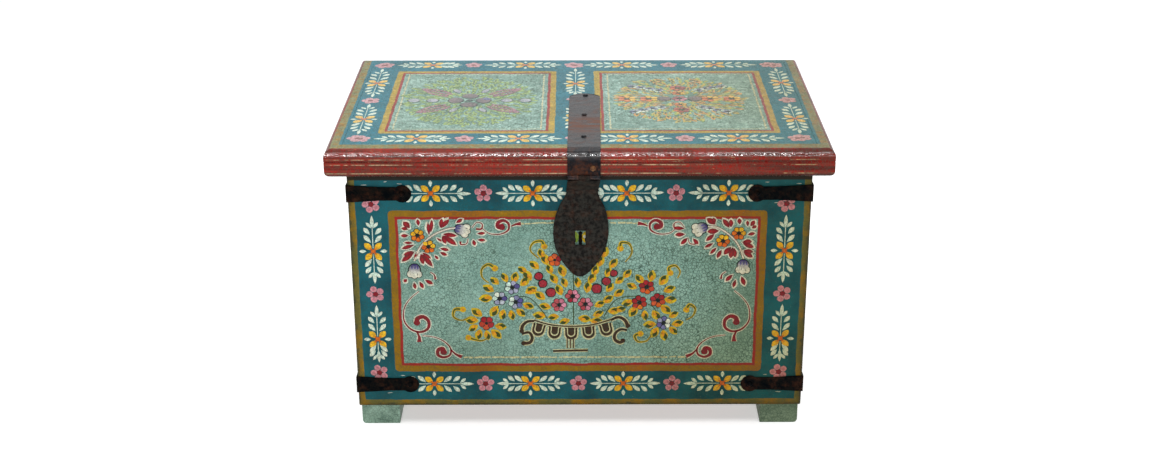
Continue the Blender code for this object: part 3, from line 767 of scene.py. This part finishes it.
def paint_lid_border(face):
    border_run(face, 21, 0, (-265, -198, -140, -74, -6, 58, 128, 192, 264))
    border_run(face, 332, 0, (-267, -202, -146, -74, -9, 59, 124, 187, 261))
    for u in (-270, 270):
        border_run(face, u, 90, (23, 96, 172, 248, 330))
    border_run(face, -5, 90, (23, 100, 177, 245, 330))


# ---- motifs of the bouquet

def oval(face, paint, u, v, angle, length, width, level, sides=12):
    """An ellipse about u, v whose long side points along the angle."""
    turns = [2 * math.pi * i / sides for i in range(sides)]
    waves = [(math.cos(turn), math.sin(turn)) for turn in turns]
    outline = [turned(u, v, angle, length / 2 * c, width / 2 * d) for c, d in waves]
    blob(face, paint, outline, level, [0.5 + 0.5 * c for c, d in waves])


def gold_leaf(face, u, v, angle):
    """A golden leaf about u, v with an olive shade and an amber heart."""
    angle += face.hand.uniform(-14, 14)
    u, v = u + face.hand.uniform(-0.8, 0.8), v + face.hand.uniform(-0.8, 0.8)
    size = face.hand.uniform(0.88, 1.14)
    leaf(face, "gold", *ahead(u, v, angle, -8.8), 17.6 * size, 11.0 * size, 0, 1.0, 7)
    leaf(face, "olive", *ahead(u, v, angle, -4.4, 1.2), 11.6 * size, 6.2 * size, 1, 1.1)
    leaf(face, "amber", *ahead(u, v, angle, -6.4, -1.0), 9.0 * size, 4.6 * size, 2, 0.9)


def bloom(face, u, v, radius, paints, start=90):
    """A round flower whose petals are outlined in ink; paints holds one paint for each petal."""
    size = radius * (0.46 if len(paints) < 6 else 0.38)
    for i, paint in enumerate(paints):
        at = turned(u, v, start + 360 * i / len(paints), radius - size, 0)
        dot(face, "ink", *at, size + 0.75, 1, 9)
        dot(face, paint, *at, size, 3, 9, shade=face.hand.random())
    dot(face, "ink", u, v, radius * 0.26, 4, 8)
    for i in range(len(paints)):
        at = turned(u, v, start + 360 * (i + 0.5) / len(paints), radius * 0.2, 0)
        leaf(face, "ink", *at, start + 360 * (i + 0.5) / len(paints), radius * 0.55, 1.2, 4)


def cherry(face, u, v, radius):
    dot(face, "ink", u, v, radius + 1.0, 1, 12)
    dot(face, "cherry", u, v, radius, 2, 12, shade=0.15)
    for i in range(7):
        angle = 20 + 51 * i + face.hand.uniform(-10, 10)
        paint = ("crimson", "maroon")[i % 2]
        leaf(face, paint, *ahead(u, v, angle, radius * 0.2), radius * 0.62, 1.3, 4)


def tendril(face, points):
    """A thin olive curl on a golden shadow; it ends in a small amber bud."""
    count = len(points)
    line = [(u, v, 0.9 + 3.2 * (i / count) ** 1.5) for i, (u, v) in enumerate(points)]
    stroke(face, "gold", [(u, v, width * 2.3) for u, v, width in line], 0)
    stroke(face, "olive", line, 2)
    dot(face, "gold", *points[-1], 4.6, 2, 9)
    dot(face, "amber", *points[-1], 3.0, 3, 8)


# Where the bouquet's stems meet, in the units of its face
BOUQUET_FOOT = -8, 150
# Leaves about that foot: direction in degrees, then how far out each one is
BUSH = (
    (67, (46, 59, 70, 83, 95)), (56, (76, 89)), (42, (62, 77, 91)), (31, (38, 50, 66)),
    (11, (32, 51, 60)), (-8, (13, 28)), (84, (49,)), (102, (51, 65)), (114, (42, 59, 73, 87, 96)),
    (124, (87,)), (134, (81, 91)), (143, (52, 64)), (155, (39,)), (175, (26, 41)), (-160, (13,)),
)
# Rings of leaves: centre, radius, first and last direction, number of leaves
RINGS = (
    (86, 179, 27, -163, 145, 11), (105, 143, 17, -170, 40, 6), (-88, 179, 28, 18, 185, 7),
    (-88, 180, 27, 225, 330, 5), (-117, 143, 18, 130, 345, 7),
)
TENDRILS = (
    ((-51, 231), (-61, 242), (-57, 252), (-47, 254), (-44, 247)),
    ((-113, 198), (-121, 206), (-121, 217), (-113, 223), (-105, 218)),
    ((-139, 151), (-148, 147), (-158, 152), (-156, 162), (-146, 162)),
    ((56, 226), (64, 238), (61, 250), (51, 252), (50, 244)),
    ((121, 204), (124, 213), (118, 221), (110, 218), (112, 211)),
    ((133, 147), (141, 152), (144, 162), (137, 168), (133, 161)),
    ((90, 127), (84, 118), (73, 117), (69, 125), (76, 128)),
    ((-112, 125), (-122, 119), (-131, 120), (-140, 123)),
)
STEMS = (
    ((-8, 139), (-8, 170), (-8, 200), (-9, 236)),
    ((-85, 178), (-66, 179), (-53, 168), (-41, 150)),
    ((30, 152), (41, 171), (53, 178), (74, 180)),
    ((85, 169), (93, 163), (98, 150)),
    ((-101, 167), (-106, 154)),
)
# Cherries: place and radius
CHERRIES = (
    (42, 211, 4.8), (33, 200, 6.0), (21, 190, 6.9), (-36, 185, 6.7), (-46, 197, 5.8), (-51, 207, 5.6),
)
BLUE = ("lilac", "violet", "lilac", "white", "white", "lilac")
WARM = ("crimson", "crimson", "scarlet", "orange", "scarlet", "crimson")
ROSE = ("rose", "cherry", "cherry", "cherry", "rose", "rose")
SUNNY = ("yellow", "yellow", "sunset", "sunset", "sunset", "yellow")


def paint_bouquet(face):
    for line in STEMS:
        stroke(face, "olive", [(u, v, 1.5) for u, v in line], 0)
    for angle, distances in BUSH:
        for distance in distances:
            gold_leaf(face, *ahead(*BOUQUET_FOOT, angle, distance))
    for u, v, radius, first, last, count in RINGS:
        for i in range(count):
            angle = first + (last - first) * i / (count - 1)
            gold_leaf(face, *ahead(u, v, angle, radius))
    for points in TENDRILS:
        tendril(face, points)
    for u, v, radius in CHERRIES:
        cherry(face, u, v, radius)
    for u, v in ((-9, 180), (-26, 168), (7, 169)):
        bloom(face, u, v, 9.6, ROSE, 60)
    for u, v in ((83, 192), (74, 171), (97, 174)):
        bloom(face, u, v, 10.0, WARM, 100)
    for u, v in ((-84, 192), (-100, 177), (-80, 172), (105, 143)):
        bloom(face, u, v, 9.6, BLUE, 40 + u)
    bloom(face, -117, 143, 9.8, ("crimson", "crimson", "scarlet", "scarlet", "crimson"), 50)
    bloom(face, -31, 229, 9, ("scarlet", "sunset", "sunset", "scarlet", "crimson"))


URN_RIM = ((-57, 147), (-36, 140.5), (-10, 138.5), (15, 140.5), (40, 148))
URN_LOBES = ((-50, 134.5, -14), (-31, 131, -6), (-11, 129.5, 0), (10, 131, 6), (31, 134.5, 14))
URN_HANDLES = (
    ((39, 147), (48, 151), (56, 147), (60, 139)),
    ((59, 133), (51, 134), (44, 128), (44, 120), (50, 116), (54, 118)),
    ((-57, 146), (-66, 145), (-72, 139), (-73, 132)),
    ((-73, 128), (-64, 130), (-60, 123), (-63, 116), (-71, 115)),
)


def inked_line(face, paint, points, width, end, halo=1.8):
    """A painted line on a cream halo, from one width to another."""
    last = len(points) - 1
    line = [(u, v, width + (end - width) * i / last) for i, (u, v) in enumerate(points)]
    stroke(face, "cream", wider(line, halo), 1)
    stroke(face, paint, line, 3)


# Layers of one lobe of the urn: paint, width, height and level
LOBE_LAYERS = (
    ("cream", 20.6, 20.2, 0), ("brown", 17.8, 18.6, 1), ("cream", 12.2, 14.6, 2), ("brown", 9.4, 12.8, 3),
)


def lobe(face, paint, u, v, lean, width, height, level):
    """A lobe that hangs from u, v: straight at the top and round at the bottom."""
    half = width / 2
    outline = [turned(u, v, lean, half), turned(u, v, lean, -half)]
    for i in range(9):
        turn = math.radians(180 + 22.5 * i)
        outline.append(turned(u, v, lean, half * math.cos(turn), half * math.sin(turn) - height + half))
    blob(face, paint, outline, level, [0.5] * len(outline))


def paint_urn(face):
    for u, v, lean in URN_LOBES:
        for paint, width, height, level in LOBE_LAYERS:
            lobe(face, paint, u, v + 8.0, lean, width, height, level)
    inked_line(face, "brown", URN_RIM, 2.4, 2.4, 2.6)
    for points in URN_HANDLES:
        inked_line(face, "brown", points, 4.0, 5.8, 2.2)
        dot(face, "brown", *points[-1], 3.4, 4, 8)
    for u in (-16, -12, -8):
        inked_line(face, "brown", ((u, 122), (u, 108)), 1.9, 1.9, 1.6)
    inked_line(face, "brown", ((-34, 104), (-12, 104.6), (10, 105)), 3.6, 3.6)


# ---- motifs of the corners

# Red leaves: foot u, foot v, direction, length, width
LEFT_SPRAY = (
    (-207, 271, 133, 12, 6.5), (-209, 270, 168, 9, 4), (-197, 274, 94, 9, 4), (-184.5, 261, 96, 17, 4),
    (-182.6, 264, 86, 18, 4), (-209, 262, 180, 10, 4.4), (-202, 250, 197, 17, 4.4),
    (-204, 252, 180, 11, 3.2), (-202, 242, 222, 22, 6), (-204, 242, 203, 14, 4),
    (-198, 243, 246, 13, 3.4), (-196, 239, 283, 15, 5.4), (-195.5, 239, 306, 22, 5.6),
    (-195, 240, 320, 14, 4), (-173, 245, 348, 12, 4), (-173, 240, 337, 10, 4), (-179, 236, 309, 7, 3),
    (-169.6, 264, 350, 18, 5), (-169.6, 263.5, 322, 22, 6), (-169, 262.5, 293, 12, 5),
    (-171, 271, 76, 13, 4.4), (-171, 270.5, 52, 16, 5), (-152, 278, 33, 10, 4), (-176, 259, 322, 8, 2.6),
    (-126.7, 264, 5, 10.5, 3.6), (-126.7, 256, 356, 10.5, 3.6), (-131, 257, 283, 8.5, 4.2),
    (-213.7, 204, 227, 6, 4), (-205.6, 200, 278, 9.5, 3.8), (-199, 201, 295, 10.4, 4.2),
    (-192.5, 203, 328, 11.5, 4.6),
)
RIGHT_SPRAY = (
    (167, 275, 142, 14, 6.4), (166, 277, 112, 8, 4), (184, 270.5, 125, 14.6, 5.4), (185, 271, 92, 11, 5),
    (196, 275, 98, 8.6, 4.6), (206, 272.5, 98, 8, 3.4), (208.5, 272.5, 57, 9.5, 4.8),
    (210, 270.5, 27, 7, 4), (205, 262, 12, 9.7, 4), (198.4, 252, 7, 12.6, 6), (199, 251.5, 339, 15.6, 5.6),
    (200, 241, 352, 13, 5.2), (200, 240.4, 327, 15, 5.6), (187, 247, 228, 14, 6), (188.5, 247, 261, 15.6, 6),
    (189.6, 246, 280, 13.6, 5), (175, 243.5, 244, 13, 4.4), (169, 246, 226, 12, 3.8),
    (165, 251.5, 211, 12.4, 3.8), (172, 267.5, 182, 15, 6.6), (166, 264, 221, 14, 5),
    (129.4, 270.5, 175, 14, 4.6), (130, 263, 186, 12.6, 5.2), (133, 259, 228, 12.4, 4.6),
    (138.3, 258, 309, 10.6, 4.4), (190, 209.5, 226, 12.6, 4.6), (193.4, 203, 257, 11.4, 4),
    (199.7, 207.5, 291, 13.6, 5),
)
LEFT_STEM = ((-152, 272), (-163, 270), (-177, 264), (-189, 255), (-198, 243), (-204, 228))
RIGHT_STEM = ((157, 273), (168, 272), (181, 264), (192, 253), (198, 242), (202, 230))
# Blooms and bells: place and direction
LEFT_BLOOMS, LEFT_BELLS = ((-199, 262, 100), (-186, 247, 70)), ((-153, 272, 343), (-204, 224, 268))
RIGHT_BLOOMS, RIGHT_BELLS = ((195, 264, 60), (176, 254, 110)), ((156, 274, 205), (202, 229, 268))
SIDE_SCROLL = (
    (196, 187), (207, 177), (215, 164), (216, 147), (208, 135), (196, 131), (186.5, 136),
    (185.5, 146), (192, 152), (199, 149.5), (200, 144),
)
LOW_SCROLL = (
    (194, 126), (178, 123.5), (166, 117), (159, 108), (160, 99), (168, 95.5), (175, 99),
    (174.5, 106), (169, 107.5), (168, 103),
)
TOP_SCROLL = (
    (119, 271), (111, 264.5), (98, 263.5), (88, 268.5), (87, 277), (93, 281.5), (99.5, 279),
    (100, 273.5), (95.5, 273),
)
SCROLL_TAILS = (
    ((201, 132), (198, 125), (198, 117), 5.0), ((159, 107), (153, 100), (145, 96), 4.4),
    ((84, 274), (78, 276.5), (72, 277.5), 4.6),
)
SMALL_CURLS = (
    ((132, 272), (126, 279), (119.5, 277), (120.5, 270.5), (127, 270.5)),
    ((137, 258), (139, 251), (146, 250), (146.5, 254)),
    ((185, 213), (180, 209), (179, 203)),
)


def red_leaf(face, u, v, angle, length, width):
    length, width = length * 1.14, width * 1.36
    leaf(face, "petal", *ahead(u, v, angle, -1.5), length + 3.2, width + 3.0, 0, 1.15, 7)
    leaf(face, "maroon", u, v, angle, length, width, 1, 1.15, 7)
    leaf(face, "crimson", *ahead(u, v, angle, length * 0.3), length * 0.55, width * 0.4, 2)


def bell(face, u, v, angle):
    """A bellflower that hangs from u, v: a cup from violet to cream, and three broad petals."""
    parts = [(7.8, 0, 17.6, 16.0)] + [(15.5 - abs(side) * 0.3, side, 9.6, 8.2) for side in (-5.4, 5.4, 0)]
    for along, beside, length, width in parts:
        oval(face, "ink", *ahead(u, v, angle, along, beside), length + 1.8, width + 1.8, 0, 14)
    for along, beside, length, width in parts[1:]:
        oval(face, "petal", *ahead(u, v, angle, along, beside), length, width, 2)
        oval(face, "ink", *ahead(u, v, angle, along - 1.5, beside + 3.6), 4.5, 1.0, 3, 8)
    oval(face, "bell", *ahead(u, v, angle, 7.8), 16.4, 14.8, 3, 14)
    for side in (-4, 1, 5):
        leaf(face, "violet", *ahead(u, v, angle, 1.6, side * 0.8), 6.5, 2.4, 4)


def swelling(points, thin, thick):
    """The points of a scroll with widths that swell towards its curled end."""
    last = len(points) - 1
    return [(u, v, thin + (thick - thin) * (i / last) ** 1.5) for i, (u, v) in enumerate(points)]


def scrolls(face, way, centre, drift=(0, 0, 0)):
    """The red scrolls of one side. way is -1 on the left; drift shifts each scroll outwards."""

    def placed(points, shift=0):
        return [(centre + way * (u + shift), v) for u, v in points]

    for points, shift in zip((SIDE_SCROLL, LOW_SCROLL, TOP_SCROLL), drift):
        line = swelling(placed(points, shift), 1.2, 9.6)
        on_halo(face, "petal", "maroon", line, 2.0)
        dot(face, "maroon", *line[-1][:2], 4.8, 2, 9)
    for (*points, width), shift in zip(SCROLL_TAILS, drift):
        line = swelling(placed(points, shift), width * 0.5, width * 1.6)
        on_halo(face, "petal", "maroon", line, 1.8, 3)
    for points in SMALL_CURLS:
        on_halo(face, "petal", "maroon", swelling(placed(points), 1.2, 4.0), 2.0, 4)


def spray(face, leaves, stem, blooms, bells):
    stroke(face, "maroon", [(u, v, 3.6) for u, v in stem], 0)
    stroke(face, "petal", [(u, v, 2.3) for u, v in stem], 2)
    for u, v, angle, length, width in leaves:
        red_leaf(face, u, v, angle, length, width)
    for u, v, angle in bells:
        bell(face, u, v, angle)
    for u, v, start in blooms:
        bloom(face, u, v, 9.0, SUNNY, start)


def rubbed_line(face, start, end, width):
    """A cream line in short, broken touches of the brush."""
    length = math.hypot(end[0] - start[0], end[1] - start[1])
    angle = math.degrees(math.atan2(end[1] - start[1], end[0] - start[0]))
    done = 0.0
    while done < length:
        size = face.hand.uniform(3, 11)
        at = turned(*start, angle, done, face.hand.uniform(-0.5, 0.5))
        to = turned(*start, angle, min(length, done + size), face.hand.uniform(-0.5, 0.5))
        stroke(face, "cream", [(*at, width * face.hand.uniform(0.4, 1.1)), (*to, width * 0.8)], 0, 2)
        done += size * face.hand.uniform(0.85, 1.3)


def chips(face, spots):
    """Pale undercoat that shows where paint has chipped, as (u, v, direction, length)."""
    for u, v, angle, length in spots:
        leaf(face, "chip", u, v, angle, length, 1.3, 0, 1.0, 4)


STRAP_CHIPS = (
    (-266, 328, 2, 9), (-222, 330, -4, 7), (-213, 309, 3, 6), (-258, 305, 0, 8), (-238, 332, 8, 5),
    (-246, 45, 4, 8), (-228, 70, -3, 7), (262, 329, -2, 8), (236, 304, 5, 7), (224, 331, 0, 6),
    (248, 46, -3, 9), (232, 70, 3, 6),
)


# The middle of the hasp's slot and the foot of the dabs in it
SLOT_U, SLOT_LOW = 0.7, 251


def paint_slot(face):
    """Dabs of colour that show through the hasp's slot, one on each side of the staple."""
    for side, paint in ((-5, "lime"), (5, "gold")):
        leaf(face, paint, SLOT_U + side, SLOT_LOW, 90, 17, 8, 0, 1.0, 6)
        leaf(face, "ink", SLOT_U + side * 1.3, SLOT_LOW + 1, 90, 8, 2.4, 1)
        leaf(face, "petal", SLOT_U + side, SLOT_LOW + 11 - side, 90, 6, 4, 1)


def paint_front_panel(face):
    chips(face, STRAP_CHIPS)
    paint_slot(face)
    paint_bouquet(face)
    paint_urn(face)
    spray(face, LEFT_SPRAY, LEFT_STEM, LEFT_BLOOMS, LEFT_BELLS)
    spray(face, RIGHT_SPRAY, RIGHT_STEM, RIGHT_BLOOMS, RIGHT_BELLS)
    scrolls(face, -1, 0, (4, 4, 0))
    scrolls(face, 1, -4, (0, -7, 3))
    rubbed_line(face, (-72, 277.5), (-31, 278.5), 3.2)
    rubbed_line(face, (37, 278.5), (82, 277.5), 3.2)
    rubbed_line(face, (-147, 95.5), (136, 95.5), 3.4)


# ---- medallions

def small_leaf(face, paints, u, v, angle, length=11, width=4.4):
    leaf(face, paints[0], u, v, angle, length, width, 0, 1.1)
    leaf(face, paints[1], *ahead(u, v, angle, 1.0, 0.5), length * 0.7, width * 0.5, 1)


def foliage(face, u, v, half_u, half_v, paints, gap, size):
    """Leaves in rings that fill an oval, all pointing outwards."""
    rings = round(min(half_u, half_v) / gap)
    for ring in range(2, rings + 1):
        share = ring / rings * 0.94
        count = round(2 * math.pi * share * (half_u + half_v) / 2 / gap)
        for i in range(count):
            turn = math.radians(360 * (i + 0.5 * (ring % 2)) / count + face.hand.uniform(-6, 6))
            reach = share + face.hand.uniform(-0.04, 0.04)
            at_u, at_v = u + half_u * reach * math.cos(turn), v + half_v * reach * math.sin(turn)
            lean = math.degrees(math.atan2(at_v - v, at_u - u)) + face.hand.uniform(-45, 45)
            length = face.hand.uniform(0.8, 1.2) * size
            pair = paints[face.hand.randrange(len(paints))]
            small_leaf(face, pair, at_u, at_v, lean, length, length * face.hand.uniform(0.32, 0.46))


def bud_spray(face, u, v, angle, length, paint):
    """A tapering head of round buds along a stem."""
    count = int(length / 5)
    for i in range(count):
        share = (i + 0.5) / count
        spread = 8.5 * math.sin(math.pi * min(1, share * 0.8 + 0.16))
        for side in (-1, 0, 1):
            at = turned(u, v, angle, length * share + (side == 0) * 2.5, side * spread)
            dot(face, "ink", *at, 3.8, 1, 8)
            dot(face, paint, *at, 3.2, 2, 8, shade=face.hand.random())
            dot(face, "pearl", *turned(*at, angle, 1), 1.0, 4, 6)


def outlined_oval(face, paint, u, v, angle, length, width):
    oval(face, "ink", u, v, angle, length + 1.8, width + 1.8, 2)
    oval(face, paint, u, v, angle, length, width, 3)


def left_medallion(face, u, v):
    foliage(face, u, v, 80, 96, (("lime", "moss"), ("lime", "olive"), ("moss", "lime")), 6.8, 15)
    for angle in (38, 142, 218, 322):
        bud_spray(face, *ahead(u, v, angle, 34), 46, "berry")
    for along in (48, 72):
        for way in (-1, 1):
            outlined_oval(face, "pearl", u + way * along, v, 0, 17, 17)
    for angle in (0, 90, 180, 270):
        length, width = (21, 26) if angle % 180 == 0 else (22, 24)
        outlined_oval(face, "plum", *ahead(u, v, angle, 18), length, width)
        outlined_oval(face, "berry", *ahead(u, v, angle, 19), length * 0.5, width * 0.4)
    for angle in (65, 115, 245, 295):
        outlined_oval(face, "pearl", *ahead(u, v, angle, 44), 20, 9)
    dot(face, "ink", u, v, 5, 4)
    dot(face, "violet", u + 22, v + 6, 6, 4)


def right_medallion(face, u, v):
    foliage(face, u, v, 78, 88, (("gold", "olive"), ("amber", "olive"), ("lime", "gold")), 7.4, 15)
    for way_u in (-1, 1):
        for way_v in (-1, 1):
            for i in range(4):
                at = (u + way_u * (26 + 11 * i), v + way_v * (36 + 6 * i))
                bloom(face, *at, 7.8, BLUE, 40 * i)
    for along in (40, 68):
        for way in (-1, 1):
            bloom(face, u + way * along, v, 13, SUNNY, 30)
    for way in (-1, 1):
        outlined_oval(face, "plum", u + way * 20, v, 0, 19, 22)
        bloom(face, u, v + way * 46, 12, WARM, 20)
        bloom(face, u, v + way * 24, 9, SUNNY, 20)
    bloom(face, u, v, 11, ROSE, 0)


def paint_lid(face):
    paint_lid_border(face)
    left_medallion(face, -142, 172)
    right_medallion(face, 130, 178)
    for left, right in ((-230, -47.5), (38, 230)):
        for v in (57, 288):
            rubbed_line(face, (left, v), (right, v), 2.2)
        for u in (left, right):
            rubbed_line(face, (u, 58), (u, 288), 3.4)


# ---- ends and back

# A scroll that grows from a corner of a panel, measured from that corner
CORNER_SCROLL = (
    (9, 62), (7, 46), (11, 30), (24, 19), (38, 20), (44, 30), (38, 38), (29, 36), (30, 29),
)
CORNER_LEAVES = ((14, 16, 225), (22, 52, 30), (14, 60, 75), (52, 12, 0), (60, 22, 30), (40, 46, 60))


def corner_scrolls(face, half_u, low, high):
    """A red scroll with leaves in each corner of a panel."""
    for way_u in (-1, 1):
        for way_v, foot in ((1, low), (-1, high)):
            points = [(way_u * (half_u - a), foot + way_v * b) for a, b in CORNER_SCROLL]
            line = swelling(points, 1.2, 6.0)
            on_halo(face, "cream", "maroon", line, 1.6)
            dot(face, "maroon", *line[-1][:2], 3.6, 2, 9)
            for a, b, angle in CORNER_LEAVES:
                heading = angle if way_u < 0 else 180 - angle
                red_leaf(face, way_u * (half_u - a), foot + way_v * b, way_v * heading, 12, 5)


def paint_side(face):
    for v in (RUN_HIGH, RUN_LOW):
        border_run(face, v, 0, (-102, -55, 0, 55, 102), False)
    for u in (-143, 143):
        border_run(face, u, 90, UPRIGHT_PLACES)
    corner_scrolls(face, 104, 90, 282)
    middle = (0, 186)
    foliage(face, *middle, 58, 62, (("gold", "olive"), ("gold", "olive"), ("amber", "olive")), 12.5, 13)
    for angle in (45, 135, 225, 315):
        bloom(face, *turned(*middle, angle, 31), 9.6, WARM, angle)
    for angle in (0, 90, 180, 270):
        bloom(face, *turned(*middle, angle, 34), 8.4, BLUE, angle)
        cherry(face, *turned(*middle, angle, 19), 4.6)
    bloom(face, *middle, 11, ROSE, 30)


def paint_back(face):
    border_run(face, RUN_HIGH, 0, (-112, -57, 0, 57, 112), False)
    border_run(face, RUN_LOW, 0, (-240, -183, -120, -61, 0, 61, 120, 183, 240), False)
    for u in (-253, 253):
        border_run(face, u, 90, UPRIGHT_PLACES)
    corner_scrolls(face, 216, 90, 282)


# ---- run

# The camera's place from the case's front face and the floor, its lens, and its turns in degrees
CAMERA_X, CAMERA_AHEAD, CAMERA_Z = -0.0036, 1.8846, 1.0384
CAMERA_LENS, CAMERA_DOWN, CAMERA_TURN = 51.16, 22.041, -0.303


def camera():
    data = bpy.data.cameras.new("camera")
    data.sensor_width, data.lens = 36.0, CAMERA_LENS
    data.clip_start = 0.01
    cam = put_in_scene("camera", data)
    cam.location = (CAMERA_X, FRONT - CAMERA_AHEAD, CAMERA_Z)
    cam.rotation_euler = (math.radians(90 - CAMERA_DOWN), 0, math.radians(CAMERA_TURN))
    bpy.context.scene.camera = cam


def floor():
    bpy.ops.mesh.primitive_plane_add(size=30)
    plane = bpy.context.object
    plane.name = "floor"
    s = Shader("pale_floor")
    s.surface.inputs["Emission Color"].default_value = (1, 1, 1, 1)
    s.surface.inputs["Emission Strength"].default_value = 0.42
    plane.data.materials.append(s.finish((0.9, 0.9, 0.9), 0.9, Specular_IOR_Level=0.1))


def area_light(name, place, target, size, power):
    data = bpy.data.lights.new(name, "AREA")
    data.shape = "RECTANGLE"
    data.size, data.size_y = size
    data.energy = power
    light = put_in_scene(name, data)
    light.location = place
    light.rotation_euler = (Vector(target) - Vector(place)).to_track_quat("-Z", "Y").to_euler()


def studio():
    world = bpy.data.worlds.new("studio")
    bpy.context.scene.world = world
    world.use_nodes = True
    nodes, links = world.node_tree.nodes, world.node_tree.links
    way = nodes.new("ShaderNodeTexCoord").outputs["Generated"]
    split = nodes.new("ShaderNodeSeparateXYZ")
    links.new(way, split.inputs[0])
    behind = nodes.new("ShaderNodeMapRange")
    behind.interpolation_type = "SMOOTHSTEP"
    links.new(split.outputs[1], behind.inputs[0])
    for slot, value in zip(list(behind.inputs)[1:5], (-0.5, 0.6, 0.05, 1.0)):
        slot.default_value = value
    links.new(behind.outputs[0], nodes["Background"].inputs["Strength"])
    nodes["Background"].inputs["Color"].default_value = (1, 1, 1, 1)
    area_light("overhead", (0.0, -0.25, 1.9), (0, 0, 0.3), (3.0, 1.8), 44)
    area_light("front_strip", (-0.1, -2.1, 1.00), (0, 0, 0.3), (1.1, 0.07), 14)
    bpy.context.scene.view_settings.view_transform = "Standard"


# Longest edge of a hammered plate's mesh
FORGED_STEP = 5 * MM
# How far in every blow goes, and how much further the hardest, in mm
BLOW_LEAST, BLOW_MORE = 0.12, 0.20


def forged(name, finish):
    """Replaces a flat iron node with a hammered copy that stays inside it."""
    node = frame["nodes"][name]
    shape = bmesh.new()
    shape.from_mesh(node.data)
    bmesh.ops.triangulate(shape, faces=shape.faces)
    for _ in range(6):
        long = [edge for edge in shape.edges if edge.calc_length() > FORGED_STEP]
        if not long:
            break
        bmesh.ops.subdivide_edges(shape, edges=long, cuts=1)
        bmesh.ops.triangulate(shape, faces=shape.faces)
    shape.normal_update()
    shift = {}
    for vert in shape.verts:
        blow = noise(vert.co * 95 + Vector((len(name), 0, 0))) + 0.5 * noise(vert.co * 260)
        depth = BLOW_LEAST + BLOW_MORE * min(1, max(0, 0.5 + blow))
        shift[vert] = vert.normal * -depth * MM
    for vert, way in shift.items():
        vert.co += way
    mesh = bpy.data.meshes.new("forged_" + name)
    shape.to_mesh(mesh)
    shape.free()
    mesh.shade_smooth()
    mesh.set_sharp_from_angle(angle=math.radians(40))
    piece = add_piece(mesh, finish, BODY_OF[name])
    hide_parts(name)


def dress_nodes():
    """Puts the finished materials on the CAD nodes; iron plates get hammered copies."""
    black = iron_material("black_iron", srgb(2, 5, 8), srgb(16, 15, 13), 0.24, 1.06)
    brown = iron_material("brown_iron", srgb(14, 13, 12), srgb(42, 41, 37), 0.22, 1.13)
    rusty = iron_material("rusty_iron", srgb(66, 40, 22), srgb(124, 82, 40), 0.5, 1.3)
    waxed, walls, lid = waxed_iron_material(), walls_material(), lid_material()
    # The first pattern that a name fits gives its finish
    finishes = (
        ("nail_hasp_edge", rusty), ("foot_*", foot_material()), ("bottom_board", bare_material()),
        ("lid_*", lid), ("*_board", walls), ("hasp_leaf", brown), ("hasp_strap", waxed),
        ("nail_hasp*", waxed), ("*", black),
    )
    for name, node in frame["nodes"].items():
        finish = next(made for pattern, made in finishes if fnmatchcase(name, pattern))
        node.data.materials.clear()
        node.data.materials.append(finish)
        if name.startswith(("strap_", "hasp_strap")) or name.endswith("_leaf"):
            forged(name, finish)


def paint_faces():
    front = Face("front", "case", (0, FRONT, 0), (1, 0, 0), (0, 0, 1))
    paint_front_border(front)
    paint_front_panel(front)
    lid = Face("lid", "lid", (0, FRONT, LID_TOP), (1, 0, 0), (0, 1, 0), 1.2)
    paint_lid(lid)
    left = Face("left", "case", (-SIDE, MIDDLE_Y, 0), (0, -1, 0), (0, 0, 1))
    right = Face("right", "case", (SIDE, MIDDLE_Y, 0), (0, 1, 0), (0, 0, 1))
    back = Face("back", "case", (0, BACK, 0), (-1, 0, 0), (0, 0, 1))
    paint_side(left)
    paint_side(right)
    paint_back(back)
    for face in (front, lid, left, right, back):
        face.make_pieces()


dress_nodes()
paint_faces()
camera()
floor()
studio()
